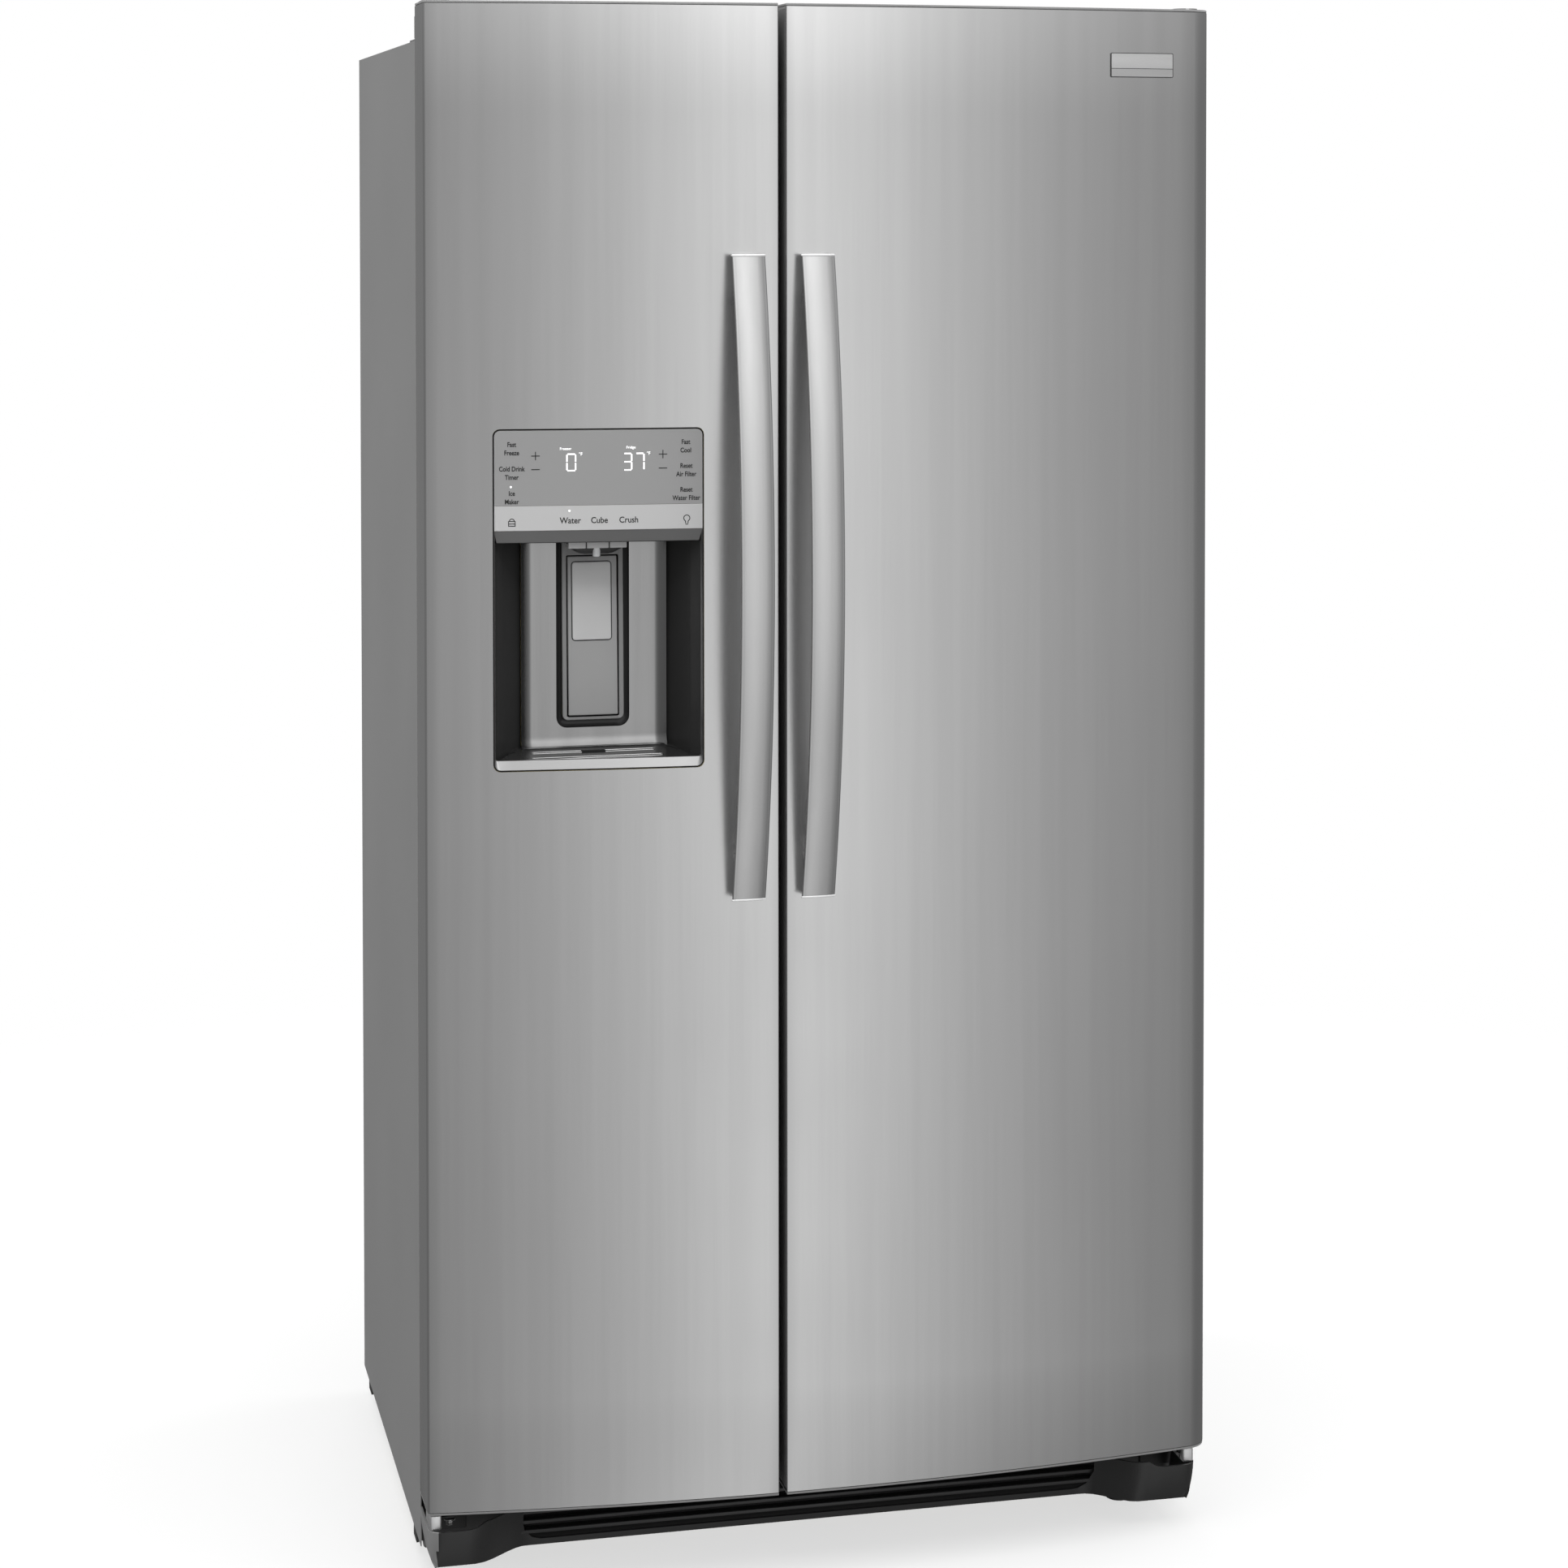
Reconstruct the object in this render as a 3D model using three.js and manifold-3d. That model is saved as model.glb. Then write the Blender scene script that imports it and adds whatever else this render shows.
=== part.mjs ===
// A side by side refrigerator with bowed stainless doors, an ice and water dispenser and two bar handles.
// Millimetres. +Z is up, -Y is the front, and the origin is on the floor under the middle.
import * as THREE from "three";
import { mergeVertices } from "three/addons/utils/BufferGeometryUtils.js";
import Module from "manifold-3d";

const wasm = await Module();
wasm.setup();

// ---- driving dimensions ----
const CLEAR = 0.3; // gap between pieces that touch
const SHEET = 1; // steel sheet of the cabinet and door skins
const LINER = 2; // moulded plastic liner wall

const DOOR_HALF_WIDTH = 456;
const DOOR_BOTTOM = 96;
const DOOR_TOP = 1773;
const DOOR_APEX = -338; // foremost line of the bowed door fronts
const DOOR_BACK = -232;
const DOOR_BOW = 32.9; // how far the shared arc falls back at the outer edges
const BOW_RADIUS = (DOOR_HALF_WIDTH ** 2 + DOOR_BOW ** 2) / (2 * DOOR_BOW);
const BOW_CENTRE = DOOR_APEX + BOW_RADIUS;
const LEFT_EDGE_RADIUS = 3; // outer edges of the freezer door and of the fresh food door
const RIGHT_EDGE_RADIUS = 26;
const GAP_EDGE_RADIUS = 2.5;
const GAP_MIDDLE = -60; // the freezer door is the narrower one
const GAP_WIDTH = 8.8;
const CAP_LIP = 2.5; // visible edge of the plastic end caps
const CAP_DEPTH = 14;
const HINGE_INSET = 20; // hinge axis from a door's outer edge
const HINGE_Y = -268;
const HINGE_X = DOOR_HALF_WIDTH - HINGE_INSET;

const CABINET_HALF_WIDTH = 454;
const CABINET_TOP = 1732;
const CABINET_FRONT = -220;
const CABINET_BACK = 408;
const SIDE_BOTTOM = 30;
const BACK_SHEET_Y = 396;
const FOAM_BOTTOM = 98.3;

const FREEZER = { x0: -399, x1: -90 }; // inside width of each compartment
const FRESH = { x0: -30, x1: 399 };
const CAVITY = { floor: 150, top: 1680, back: 340, humpFront: 130, humpTop: 360 };
const MACHINE_FRONT = 190;
const MACHINE_TOP = 300;

const HANDLE = { width: 38, bottom: 775, top: 1494, thick: 15, endStandoff: 20, middleStandoff: 70, foot: 40 };
const HANDLE_X = [-102.7, -23.5];

const DISPENSER = { x0: -381.5, x1: -149, z0: 923, z1: 1301.5, back: -253, corner: 8 };
const NICHE = { z0: 936, z1: 1175, halfFront: 113.2, flareY: -316, halfBack: 84, back: -257, corner: 5 };
const PANEL_BOTTOM = 1189.5;
const CHUTE = { x0: -296, x1: -238, front: -303, back: -266, top: 1222 };

const ROLLER_X = 435;
const FRONT_ROLLER = { y: -150, z: 22, radius: 20 };
const REAR_ROLLER = { y: 350, z: 24, radius: 24 };
const FOOT = { x: 385, y: -188 };

// ---- solids ----
const WELD = 1e-4;

function toSolid(geometry) {
  const bare = geometry.clone();
  bare.deleteAttribute("normal");
  bare.deleteAttribute("uv");
  const welded = mergeVertices(bare, WELD);
  return new wasm.Manifold(
    new wasm.Mesh({
      numProp: 3,
      vertProperties: welded.attributes.position.array,
      triVerts: new Uint32Array(welded.index.array),
    }),
  );
}

function toGeometry(solid) {
  const mesh = solid.getMesh();
  return new THREE.BufferGeometry()
    .setAttribute("position", new THREE.BufferAttribute(mesh.vertProperties, 3))
    .setIndex(new THREE.BufferAttribute(mesh.triVerts, 1));
}

function join(...pieces) {
  return toGeometry(pieces.map(toSolid).reduce((a, b) => a.add(b)));
}

function cut(body, ...tools) {
  return toGeometry(tools.map(toSolid).reduce((a, b) => a.subtract(b), toSolid(body)));
}

function overlap(a, b) {
  return toGeometry(toSolid(a).intersect(toSolid(b)));
}

// ---- shapes ----
function box(x0, x1, y0, y1, z0, z1) {
  const size = new THREE.BoxGeometry(x1 - x0, y1 - y0, z1 - z0);
  return size.translate((x0 + x1) / 2, (y0 + y1) / 2, (z0 + z1) / 2);
}

function extrude(points, depth) {
  const outline = new THREE.Shape(points.map(([a, b]) => new THREE.Vector2(a, b)));
  return new THREE.ExtrudeGeometry(outline, { depth, bevelEnabled: false });
}

// Points are (x, y) and the length runs along Z.
function alongZ(points, z0, z1) {
  return extrude(points, z1 - z0).translate(0, 0, z0);
}

// Points are (x, z) and the length runs along Y.
function alongY(points, y0, y1) {
  const turn = new THREE.Matrix4().makeRotationX(Math.PI / 2);
  return extrude(points, y1 - y0).applyMatrix4(turn).translate(0, y1, 0);
}

// Points are (y, z) and the length runs along X.
function alongX(points, x0, x1) {
  const [across, up, along] = [
    new THREE.Vector3(0, 1, 0),
    new THREE.Vector3(0, 0, 1),
    new THREE.Vector3(1, 0, 0),
  ];
  const turn = new THREE.Matrix4().makeBasis(across, up, along);
  return extrude(points, x1 - x0).applyMatrix4(turn).translate(x0, 0, 0);
}

function arc(cx, cy, rx, ry, from, to, steps) {
  return Array.from({ length: steps + 1 }, (_, i) => {
    const angle = THREE.MathUtils.degToRad(from + ((to - from) * i) / steps);
    return [cx + rx * Math.cos(angle), cy + ry * Math.sin(angle)];
  });
}

function roundedRectangle(x0, x1, y0, y1, radius, steps = 4) {
  return [
    ...arc(x1 - radius, y0 + radius, radius, radius, -90, 0, steps),
    ...arc(x1 - radius, y1 - radius, radius, radius, 0, 90, steps),
    ...arc(x0 + radius, y1 - radius, radius, radius, 90, 180, steps),
    ...arc(x0 + radius, y0 + radius, radius, radius, 180, 270, steps),
  ];
}

// A turned solid about Z; the profile is (radius, height), from bottom to top.
function turned(profile, segments) {
  const points = profile.map(([r, h]) => new THREE.Vector2(r, h));
  return new THREE.LatheGeometry(points, segments).rotateX(Math.PI / 2);
}

function rod(radius, z0, z1, segments = 20) {
  return turned([[0, z0], [radius, z0], [radius, z1], [0, z1]], segments);
}

function ring(inner, outer, z0, z1, segments) {
  return turned([[inner, z0], [outer, z0], [outer, z1], [inner, z1], [inner, z0]], segments);
}

// An open-topped bin with even walls.
function tub(x0, x1, y0, y1, z0, z1, wall) {
  const outer = box(x0, x1, y0, y1, z0, z1);
  const inner = box(x0 + wall, x1 - wall, y0 + wall, y1 - wall, z0 + wall, z1 + wall);
  return cut(outer, inner);
}

// ---- door outline ----
// The bowed front is one circle across both doors; each edge fillet touches it and the door's side.
function filletCentre(x, radius) {
  return [x, BOW_CENTRE - Math.sqrt((BOW_RADIUS - radius) ** 2 - x ** 2)];
}

function bowAngle(x, y) {
  return THREE.MathUtils.radToDeg(Math.atan2(y - BOW_CENTRE, x));
}

// Plan of a door from its left to its right side, drawn in by inset, back to the line y = back.
function doorPlan(door, inset, back) {
  const fillet = (x, full, side) => {
    const radius = Math.max(full - inset, 0.5);
    return [filletCentre(x + side * (inset + radius), radius + inset), radius];
  };
  const [[lx, ly], lr] = fillet(door.x0, door.r0, 1);
  const [[rx, ry], rr] = fillet(door.x1, door.r1, -1);
  const [a0, a1] = [bowAngle(lx, ly) + 360, bowAngle(rx, ry) + 360];
  const bow = BOW_RADIUS - inset;
  return [
    [door.x0 + inset, back],
    ...arc(lx, ly, lr, lr, 180, a0, 6),
    ...arc(0, BOW_CENTRE, bow, bow, a0, a1, 14).slice(1, -1),
    ...arc(rx, ry, rr, rr, a1, 360, 6),
    [door.x1 - inset, back],
  ];
}

const GAP_HALF = GAP_WIDTH / 2;
const FREEZER_DOOR = {
  x0: -DOOR_HALF_WIDTH,
  x1: GAP_MIDDLE - GAP_HALF,
  r0: LEFT_EDGE_RADIUS,
  r1: GAP_EDGE_RADIUS,
  hingeX: -HINGE_X,
  dyke: { x0: -392, x1: -106 },
  seal: { x0: -436, x1: -69 },
};
const FRESH_DOOR = {
  x0: GAP_MIDDLE + GAP_HALF,
  x1: DOOR_HALF_WIDTH,
  r0: GAP_EDGE_RADIUS,
  r1: RIGHT_EDGE_RADIUS,
  hingeX: HINGE_X,
  dyke: { x0: -14, x1: 392 },
  seal: { x0: -51, x1: 436 },
};

function bowFront(x) {
  return BOW_CENTRE - Math.sqrt(BOW_RADIUS ** 2 - x ** 2);
}

// ---- scene graph ----
const refrigerator = new THREE.Group();
const freezerDoor = new THREE.Group();
const freshDoor = new THREE.Group();
refrigerator.add(freezerDoor, freshDoor);

function finish(color, roughness, metalness) {
  return () => new THREE.MeshStandardMaterial({ color, roughness, metalness });
}

const stainless = finish(0xa6a6a6, 0.32, 1);
const handleSteel = finish(0xc4c4c4, 0.28, 1);
const sidePaint = finish(0x7d7d7d, 0.5, 0.2);
const plated = finish(0xc8c8c8, 0.35, 1);
const frameSteel = finish(0x8a8a8a, 0.6, 0.8);
const darkPlastic = finish(0x2a2a2a, 0.45, 0);
const greyPlastic = finish(0x6a6a6a, 0.5, 0);
const panelGrey = finish(0xa2a2a2, 0.3, 0.1);
const whitePlastic = finish(0xeeeeee, 0.4, 0);
const clearPlastic = finish(0xdfe6ea, 0.1, 0);
const glass = finish(0xd8e4e0, 0.05, 0);
const foam = finish(0xe8d9a8, 0.9, 0);
const rubber = finish(0x3c3c3c, 0.8, 0);
const black = finish(0x161616, 0.5, 0.1);

function piece(name, geometry, material, parent = refrigerator) {
  const mesh = new THREE.Mesh(geometry, material());
  mesh.name = name;
  parent.add(mesh);
  return mesh;
}

// The same geometry on the left and, mirrored, on the right.
function pair(left, right, geometry, material) {
  piece(left, geometry, material);
  const mirrored = piece(right, geometry, material);
  mirrored.scale.x = -1;
}

// ---- cabinet ----
function cabinetWrapper() {
  const [w, inner, top] = [CABINET_HALF_WIDTH, CABINET_HALF_WIDTH - SHEET, CABINET_TOP - SHEET];
  const section = [
    [-w, SIDE_BOTTOM],
    [-inner, SIDE_BOTTOM],
    [-inner, top],
    [inner, top],
    [inner, SIDE_BOTTOM],
    [w, SIDE_BOTTOM],
    [w, CABINET_TOP],
    [-w, CABINET_TOP],
  ];
  return alongY(section, CABINET_FRONT, CABINET_BACK);
}

const INSIDE_X = CABINET_HALF_WIDTH - SHEET - CLEAR;
const INSIDE_TOP = CABINET_TOP - SHEET - CLEAR;

// Side profile of a compartment with the machine hump in its floor, grown all round.
function cavityProfile(grow, front) {
  return [
    [front, CAVITY.floor - grow],
    [CAVITY.humpFront + grow, CAVITY.floor - grow],
    [CAVITY.humpFront + grow, CAVITY.humpTop - grow],
    [CAVITY.back + grow, CAVITY.humpTop - grow],
    [CAVITY.back + grow, CAVITY.top + grow],
    [front, CAVITY.top + grow],
  ];
}

function cavity(room, grow, front) {
  return alongX(cavityProfile(grow, front), room.x0 - grow, room.x1 + grow);
}

function cabinetFoam() {
  const front = CABINET_FRONT + SHEET + CLEAR;
  const back = BACK_SHEET_Y - CLEAR;
  const profile = [
    [front, FOAM_BOTTOM],
    [MACHINE_FRONT, FOAM_BOTTOM],
    [MACHINE_FRONT, MACHINE_TOP],
    [back, MACHINE_TOP],
    [back, INSIDE_TOP],
    [front, INSIDE_TOP],
  ];
  const block = alongX(profile, -INSIDE_X, INSIDE_X);
  const rooms = [FREEZER, FRESH].map((room) => cavity(room, LINER + CLEAR, CABINET_FRONT));
  return cut(block, ...rooms);
}

function liner(room) {
  return cut(cavity(room, LINER, CABINET_FRONT), cavity(room, 0, CABINET_FRONT - 1));
}

function frontFrame() {
  const plate = box(-INSIDE_X, INSIDE_X, CABINET_FRONT, CABINET_FRONT + SHEET, FOAM_BOTTOM, INSIDE_TOP);
  const windows = [FREEZER, FRESH].map((room) => cavity(room, LINER + CLEAR, CABINET_FRONT - 1));
  return cut(plate, ...windows);
}

function rearPanel() {
  return box(-INSIDE_X, INSIDE_X, BACK_SHEET_Y, BACK_SHEET_Y + SHEET, MACHINE_TOP, INSIDE_TOP);
}

// ---- base ----
const CORD_HOLE = { x: -380, z: 240, radius: 9 };
const VALVE = { x: -300, z: 110, nozzle: 8 };

// A rod through the back sheet, its ends measured from the sheet.
function throughBack(radius, y0, y1, { x, z }) {
  return rod(radius, y0, y1).rotateX(-Math.PI / 2).translate(x, BACK_SHEET_Y, z);
}

function machineCover() {
  const plate = box(-INSIDE_X, INSIDE_X, BACK_SHEET_Y, BACK_SHEET_Y + LINER, 42, MACHINE_TOP - CLEAR);
  const slots = [];
  for (const x of [-130, 60, 250]) {
    for (let row = 0; row < 6; row++) {
      const z = 80 + row * 30;
      slots.push(box(x, x + 150, BACK_SHEET_Y - 1, BACK_SHEET_Y + LINER + 1, z, z + 12));
    }
  }
  const collar = throughBack(CORD_HOLE.radius + 3, -5, 8, CORD_HOLE);
  const cordHole = throughBack(CORD_HOLE.radius, -6, 9, CORD_HOLE);
  const nozzleHole = throughBack(VALVE.nozzle + 1, -6, 9, VALVE);
  return cut(join(plate, collar), ...slots, cordHole, nozzleHole);
}

function waterInletValve() {
  const body = box(VALVE.x - 25, VALVE.x + 25, BACK_SHEET_Y - 50, BACK_SHEET_Y - 8, VALVE.z - 20, VALVE.z + 30);
  return join(body, throughBack(VALVE.nozzle, -15, 11, VALVE));
}

// Front and rear cross members between two side channels; each roller's axle is riveted across its channel.
function baseFrame() {
  const web = INSIDE_X - CLEAR;
  const parts = [
    box(-web, web, -214, -211, 40, 95),
    box(-web, web, -214, -170, 40, 43),
    box(-web, web, MACHINE_FRONT + 4, BACK_SHEET_Y - CLEAR, 52, 55),
  ];
  for (const side of [-1, 1]) {
    const [outer, inner] = [side * web, side * (web - 3)];
    const [x0, x1] = [Math.min(outer, inner), Math.max(outer, inner)];
    parts.push(box(x0, x1, -214, BACK_SHEET_Y - CLEAR, 34, 95));
    const [cheek0, cheek1] = [side * 421, side * 424];
    for (const { y, z } of [FRONT_ROLLER, REAR_ROLLER]) {
      parts.push(box(x0, x1, y - 14, y + 14, z - 9, 50));
      parts.push(box(Math.min(cheek0, cheek1), Math.max(cheek0, cheek1), y - 14, y + 14, z - 9, 58));
      const axle = rod(4, 0, web - 421 - 1, 16).rotateY(Math.PI / 2);
      parts.push(axle.translate(side > 0 ? 422 : -web + 1, y, z));
    }
    parts.push(box(Math.min(cheek0, outer), Math.max(cheek0, outer), FRONT_ROLLER.y - 14, FRONT_ROLLER.y + 14, 55, 58));
    parts.push(box(side * FOOT.x - 14, side * FOOT.x + 14, -213, -170, 41, 60));
  }
  const wells = [-1, 1].flatMap((side) => [
    box(side * ROLLER_X - 10, side * ROLLER_X + 10, REAR_ROLLER.y - 27, REAR_ROLLER.y + 27, 51, 56),
    rod(6.5, 30, 70).translate(side * FOOT.x, FOOT.y, 0),
  ]);
  return cut(join(...parts), ...wells);
}

function roller(radius) {
  return ring(4.4, radius, -8, 8, 32).rotateY(Math.PI / 2);
}

function levellingFoot() {
  return turned([[0, 0], [16, 0], [16, 5], [6, 9], [6, 75], [0, 75]], 24);
}

// The toe grille bulges forward at both ends round the hinge brackets and is louvred in the middle.
const GRILLE = { bottom: 33, top: 84, endY: -305, middleY: -265.5, halfWidth: 453, thick: 3, backY: -222 };
const GRILLE_BENDS = { leftOuter: -402, leftInner: -338, rightInner: 318, rightOuter: 382 };

function grilleFront(inset) {
  const { endY, middleY, halfWidth, backY } = GRILLE;
  const { leftOuter, leftInner, rightInner, rightOuter } = GRILLE_BENDS;
  const corner = 12 - inset;
  const swing = (from, to, y0, y1) =>
    Array.from({ length: 7 }, (_, i) => {
      const t = i / 6;
      return [from + (to - from) * t, y0 + (y1 - y0) * t * t * (3 - 2 * t) + inset];
    });
  return [
    [-halfWidth + inset, backY + inset],
    ...arc(-halfWidth + 12, endY + 12, corner, corner, 180, 270, 4),
    ...swing(leftOuter, leftInner, endY, middleY),
    ...swing(rightInner, rightOuter, middleY, endY),
    ...arc(halfWidth - 12, endY + 12, corner, corner, 270, 360, 4),
    [halfWidth - inset, backY + inset],
  ];
}

function toeGrille() {
  const shell = cut(
    alongZ(grilleFront(0), GRILLE.bottom, GRILLE.top),
    alongZ(grilleFront(GRILLE.thick), GRILLE.bottom - 1, GRILLE.top + 1),
  );
  const louvres = [];
  for (let column = 0; column < 3; column++) {
    for (let row = 0; row < 4; row++) {
      const [x, z] = [-330 + column * 214, 43 + row * 9.5];
      louvres.push(box(x, x + 208, GRILLE.middleY - 2, GRILLE.middleY + 5, z, z + 5.5));
    }
  }
  return cut(shell, ...louvres);
}

// ---- hinges ----
const ARM = { z0: DOOR_TOP + CLEAR, z1: DOOR_TOP + 2.7, x0: -450, x1: -422 };
const PIN = { top: 5, bottom: 6, play: 0.4 };

function topHinge() {
  return join(
    box(-451, -385, -222, -140, CABINET_TOP + CLEAR, CABINET_TOP + 3),
    box(ARM.x0, ARM.x1, -222, -219, CABINET_TOP + CLEAR, ARM.z1),
    box(ARM.x0, ARM.x1, HINGE_Y, -219, ARM.z0, ARM.z1),
    rod(14, ARM.z0, ARM.z1, 24).translate(-HINGE_X, HINGE_Y, 0),
    rod(PIN.top, DOOR_TOP - 11, ARM.z1 - 1).translate(-HINGE_X, HINGE_Y, 0),
  );
}

function hingeCover() {
  const base = CABINET_TOP + 3 + CLEAR;
  const shell = join(
    box(-452.5, -430, -218.5, -197, base, 1760),
    box(-431, -372, -218.5, -118, base, 1768),
  );
  const hollow = join(
    box(-450.5, -428, -216.5, -199, base - 1, 1758),
    box(-429, -374, -216.5, -120, base - 1, 1766),
  );
  return cut(shell, hollow);
}

const BRACKET = { z0: 86, z1: 89.5 };

function bottomHinge() {
  return join(
    box(-452, -402, -217.5, -214.3, 46, BRACKET.z1),
    box(-452, -420, HINGE_Y, -214.3, BRACKET.z0, BRACKET.z1),
    rod(16, BRACKET.z0, BRACKET.z1, 24).translate(-HINGE_X, HINGE_Y, 0),
    box(-453, -440, -300, HINGE_Y, 85, 94),
    box(-441, -424, -292, HINGE_Y, BRACKET.z0, BRACKET.z1),
    rod(10, BRACKET.z1 - 1, DOOR_BOTTOM - 1.5, 6).translate(-HINGE_X, HINGE_Y, 0),
    rod(PIN.bottom, BRACKET.z1 - 1, DOOR_BOTTOM + 11).translate(-HINGE_X, HINGE_Y, 0),
  );
}

// ---- doors ----
const DOOR_INSIDE = SHEET + CLEAR;
const PANEL_FRONT = DOOR_BACK - LINER;

function doorSkin(door) {
  const [z0, z1] = [DOOR_BOTTOM + CAP_LIP + CLEAR, DOOR_TOP - CAP_LIP - CLEAR];
  return cut(
    alongZ(doorPlan(door, 0, DOOR_BACK), z0, z1),
    alongZ(doorPlan(door, SHEET, DOOR_BACK + 1), z0 - 1, z1 + 1),
  );
}

function doorFoam(door) {
  const plan = doorPlan(door, DOOR_INSIDE, PANEL_FRONT - CLEAR);
  return alongZ(plan, DOOR_BOTTOM + CAP_DEPTH + CLEAR, DOOR_TOP - CAP_DEPTH - CLEAR);
}

// The lip covers the skin's edge and the plug under it carries the hinge bushing.
function endCap(door, edge, inward, pinRadius) {
  const slab = (inset, depth, back) => {
    const ends = [edge, edge + inward * depth].sort((a, b) => a - b);
    return alongZ(doorPlan(door, inset, back), ...ends);
  };
  const plug = slab(DOOR_INSIDE, CAP_DEPTH, PANEL_FRONT - CLEAR);
  const lip = slab(0.2, CAP_LIP, DOOR_BACK);
  const ends = [edge - inward, edge + inward * (CAP_DEPTH - 2)].sort((a, b) => a - b);
  const bushing = rod(pinRadius + PIN.play, ...ends).translate(door.hingeX, HINGE_Y, 0);
  return cut(join(plug, lip), bushing);
}

const DYKE = { back: -172, wall: 20, z0: 176, z1: 1664 };

// The white inner panel and the raised dyke that the bins hang between.
function innerPanel(door) {
  const [x0, x1] = [door.x0 + DOOR_INSIDE, door.x1 - DOOR_INSIDE];
  const [z0, z1] = [DOOR_BOTTOM + CAP_LIP + CLEAR, DOOR_TOP - CAP_LIP - CLEAR];
  const { dyke } = door;
  const raised = box(dyke.x0, dyke.x1, DOOR_BACK - 1, DYKE.back, DYKE.z0, DYKE.z1);
  const w = DYKE.wall;
  const well = box(dyke.x0 + w, dyke.x1 - w, DOOR_BACK, DYKE.back + 1, DYKE.z0 + w, DYKE.z1 - w);
  return join(box(x0, x1, PANEL_FRONT, DOOR_BACK, z0, z1), cut(raised, well));
}

function gasket(door) {
  const { x0, x1 } = door.seal;
  const [y0, y1] = [DOOR_BACK + CLEAR, CABINET_FRONT - CLEAR];
  const band = 19;
  const outer = box(x0, x1, y0, y1, 116, 1716);
  return cut(outer, box(x0 + band, x1 - band, y0 - 1, y1 + 1, 116 + band, 1716 - band));
}

// A bowed bar whose solid ends stand on the door and follow its bow.
function handle(door, x) {
  const middle = (HANDLE.bottom + HANDLE.top) / 2;
  const half = (HANDLE.top - HANDLE.bottom) / 2;
  const sag = HANDLE.middleStandoff - HANDLE.endStandoff;
  const radius = (half ** 2 + sag ** 2) / (2 * sag);
  const faceY = DOOR_APEX - HANDLE.middleStandoff;
  const centre = faceY + radius;
  const seat = DOOR_APEX + 5;
  const at = (r, z) => [centre - Math.sqrt(r ** 2 - (z - middle) ** 2), z];
  const steps = 16;
  const span = (z0, z1) => Array.from({ length: steps + 1 }, (_, i) => z0 + ((z1 - z0) * i) / steps);
  const outer = span(HANDLE.bottom, HANDLE.top).map((z) => at(radius, z));
  const inner = span(HANDLE.top - HANDLE.foot, HANDLE.bottom + HANDLE.foot).map((z) => at(radius - HANDLE.thick, z));
  const side = [
    ...outer,
    [seat, HANDLE.top],
    [seat, HANDLE.top - HANDLE.foot],
    ...inner,
    [seat, HANDLE.bottom + HANDLE.foot],
    [seat, HANDLE.bottom],
  ];
  const bar = alongX(side, x - HANDLE.width / 2, x + HANDLE.width / 2);
  const doorFront = alongZ(doorPlan(door, -CLEAR, DOOR_BACK), HANDLE.bottom - 1, HANDLE.top + 1);
  return cut(bar, doorFront);
}

// ---- dispenser ----
function dispenserOutline(grow) {
  const { x0, x1, z0, z1, corner } = DISPENSER;
  return roundedRectangle(x0 - grow, x1 + grow, z0 - grow, z1 + grow, corner + grow);
}

function dispenserHole(back) {
  return alongY(dispenserOutline(CLEAR), DOOR_APEX - 10, back);
}

const NICHE_X = (DISPENSER.x0 + DISPENSER.x1) / 2;

function nichePlan(inset, front) {
  const { halfFront, flareY, halfBack, back, corner } = NICHE;
  const radius = corner - inset / 2;
  const [wide, narrow] = [halfFront - inset, halfBack - inset];
  const cornerY = back - inset - radius;
  return [
    [NICHE_X - wide, front],
    [NICHE_X + wide, front],
    [NICHE_X + wide, flareY],
    ...arc(NICHE_X + narrow - radius, cornerY, radius, radius, 0, 90, 4),
    ...arc(NICHE_X - narrow + radius, cornerY, radius, radius, 90, 180, 4),
    [NICHE_X - wide, flareY],
  ];
}

function dispenserPanelBand(inset0, inset1, grow) {
  const { x0, x1, z1, corner } = DISPENSER;
  const rim = 1.2;
  const face = roundedRectangle(x0 + rim - grow, x1 - rim + grow, PANEL_BOTTOM - grow, z1 - rim + grow, corner - rim);
  const front = alongZ(doorPlan(FREEZER_DOOR, inset0, DOOR_BACK), PANEL_BOTTOM - 5, z1);
  const behind = alongZ(doorPlan(FREEZER_DOOR, inset1, DOOR_BACK + 1), PANEL_BOTTOM - 6, z1 + 1);
  return overlap(alongY(face, DOOR_APEX - 10, DISPENSER.back - 5), cut(front, behind));
}

function dispenserHousing() {
  const block = overlap(
    alongY(dispenserOutline(0), DOOR_APEX - 10, DISPENSER.back),
    alongZ(doorPlan(FREEZER_DOOR, 0, DOOR_BACK), DISPENSER.z0 - 1, DISPENSER.z1 + 1),
  );
  const niche = alongZ(nichePlan(0, DOOR_APEX - 10), NICHE.z0, NICHE.z1);
  const trayBed = alongZ(nichePlan(1, -322), NICHE.z0 - 6, NICHE.z0 + 1);
  const chute = box(CHUTE.x0, CHUTE.x1, CHUTE.front, CHUTE.back, NICHE.z1 - 1, CHUTE.top);
  return cut(block, niche, trayBed, chute, dispenserPanelBand(-2, 3.3, CLEAR));
}

function controlPanel() {
  return dispenserPanelBand(0, 3, 0);
}

function dripTray() {
  const plate = alongZ(nichePlan(1.6, -321.5), NICHE.z0 - 5.6, NICHE.z0 + 1);
  const slots = [-307, -287].map((y) => box(NICHE_X - 80, NICHE_X + 80, y, y + 4, NICHE.z0 - 7, NICHE.z0 + 3));
  return cut(plate, ...slots);
}

const PADDLE = { x0: -291, x1: -235, top: 1154, bottom: 975.5, topY: -262, bottomY: -270, thick: 4 };

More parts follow.
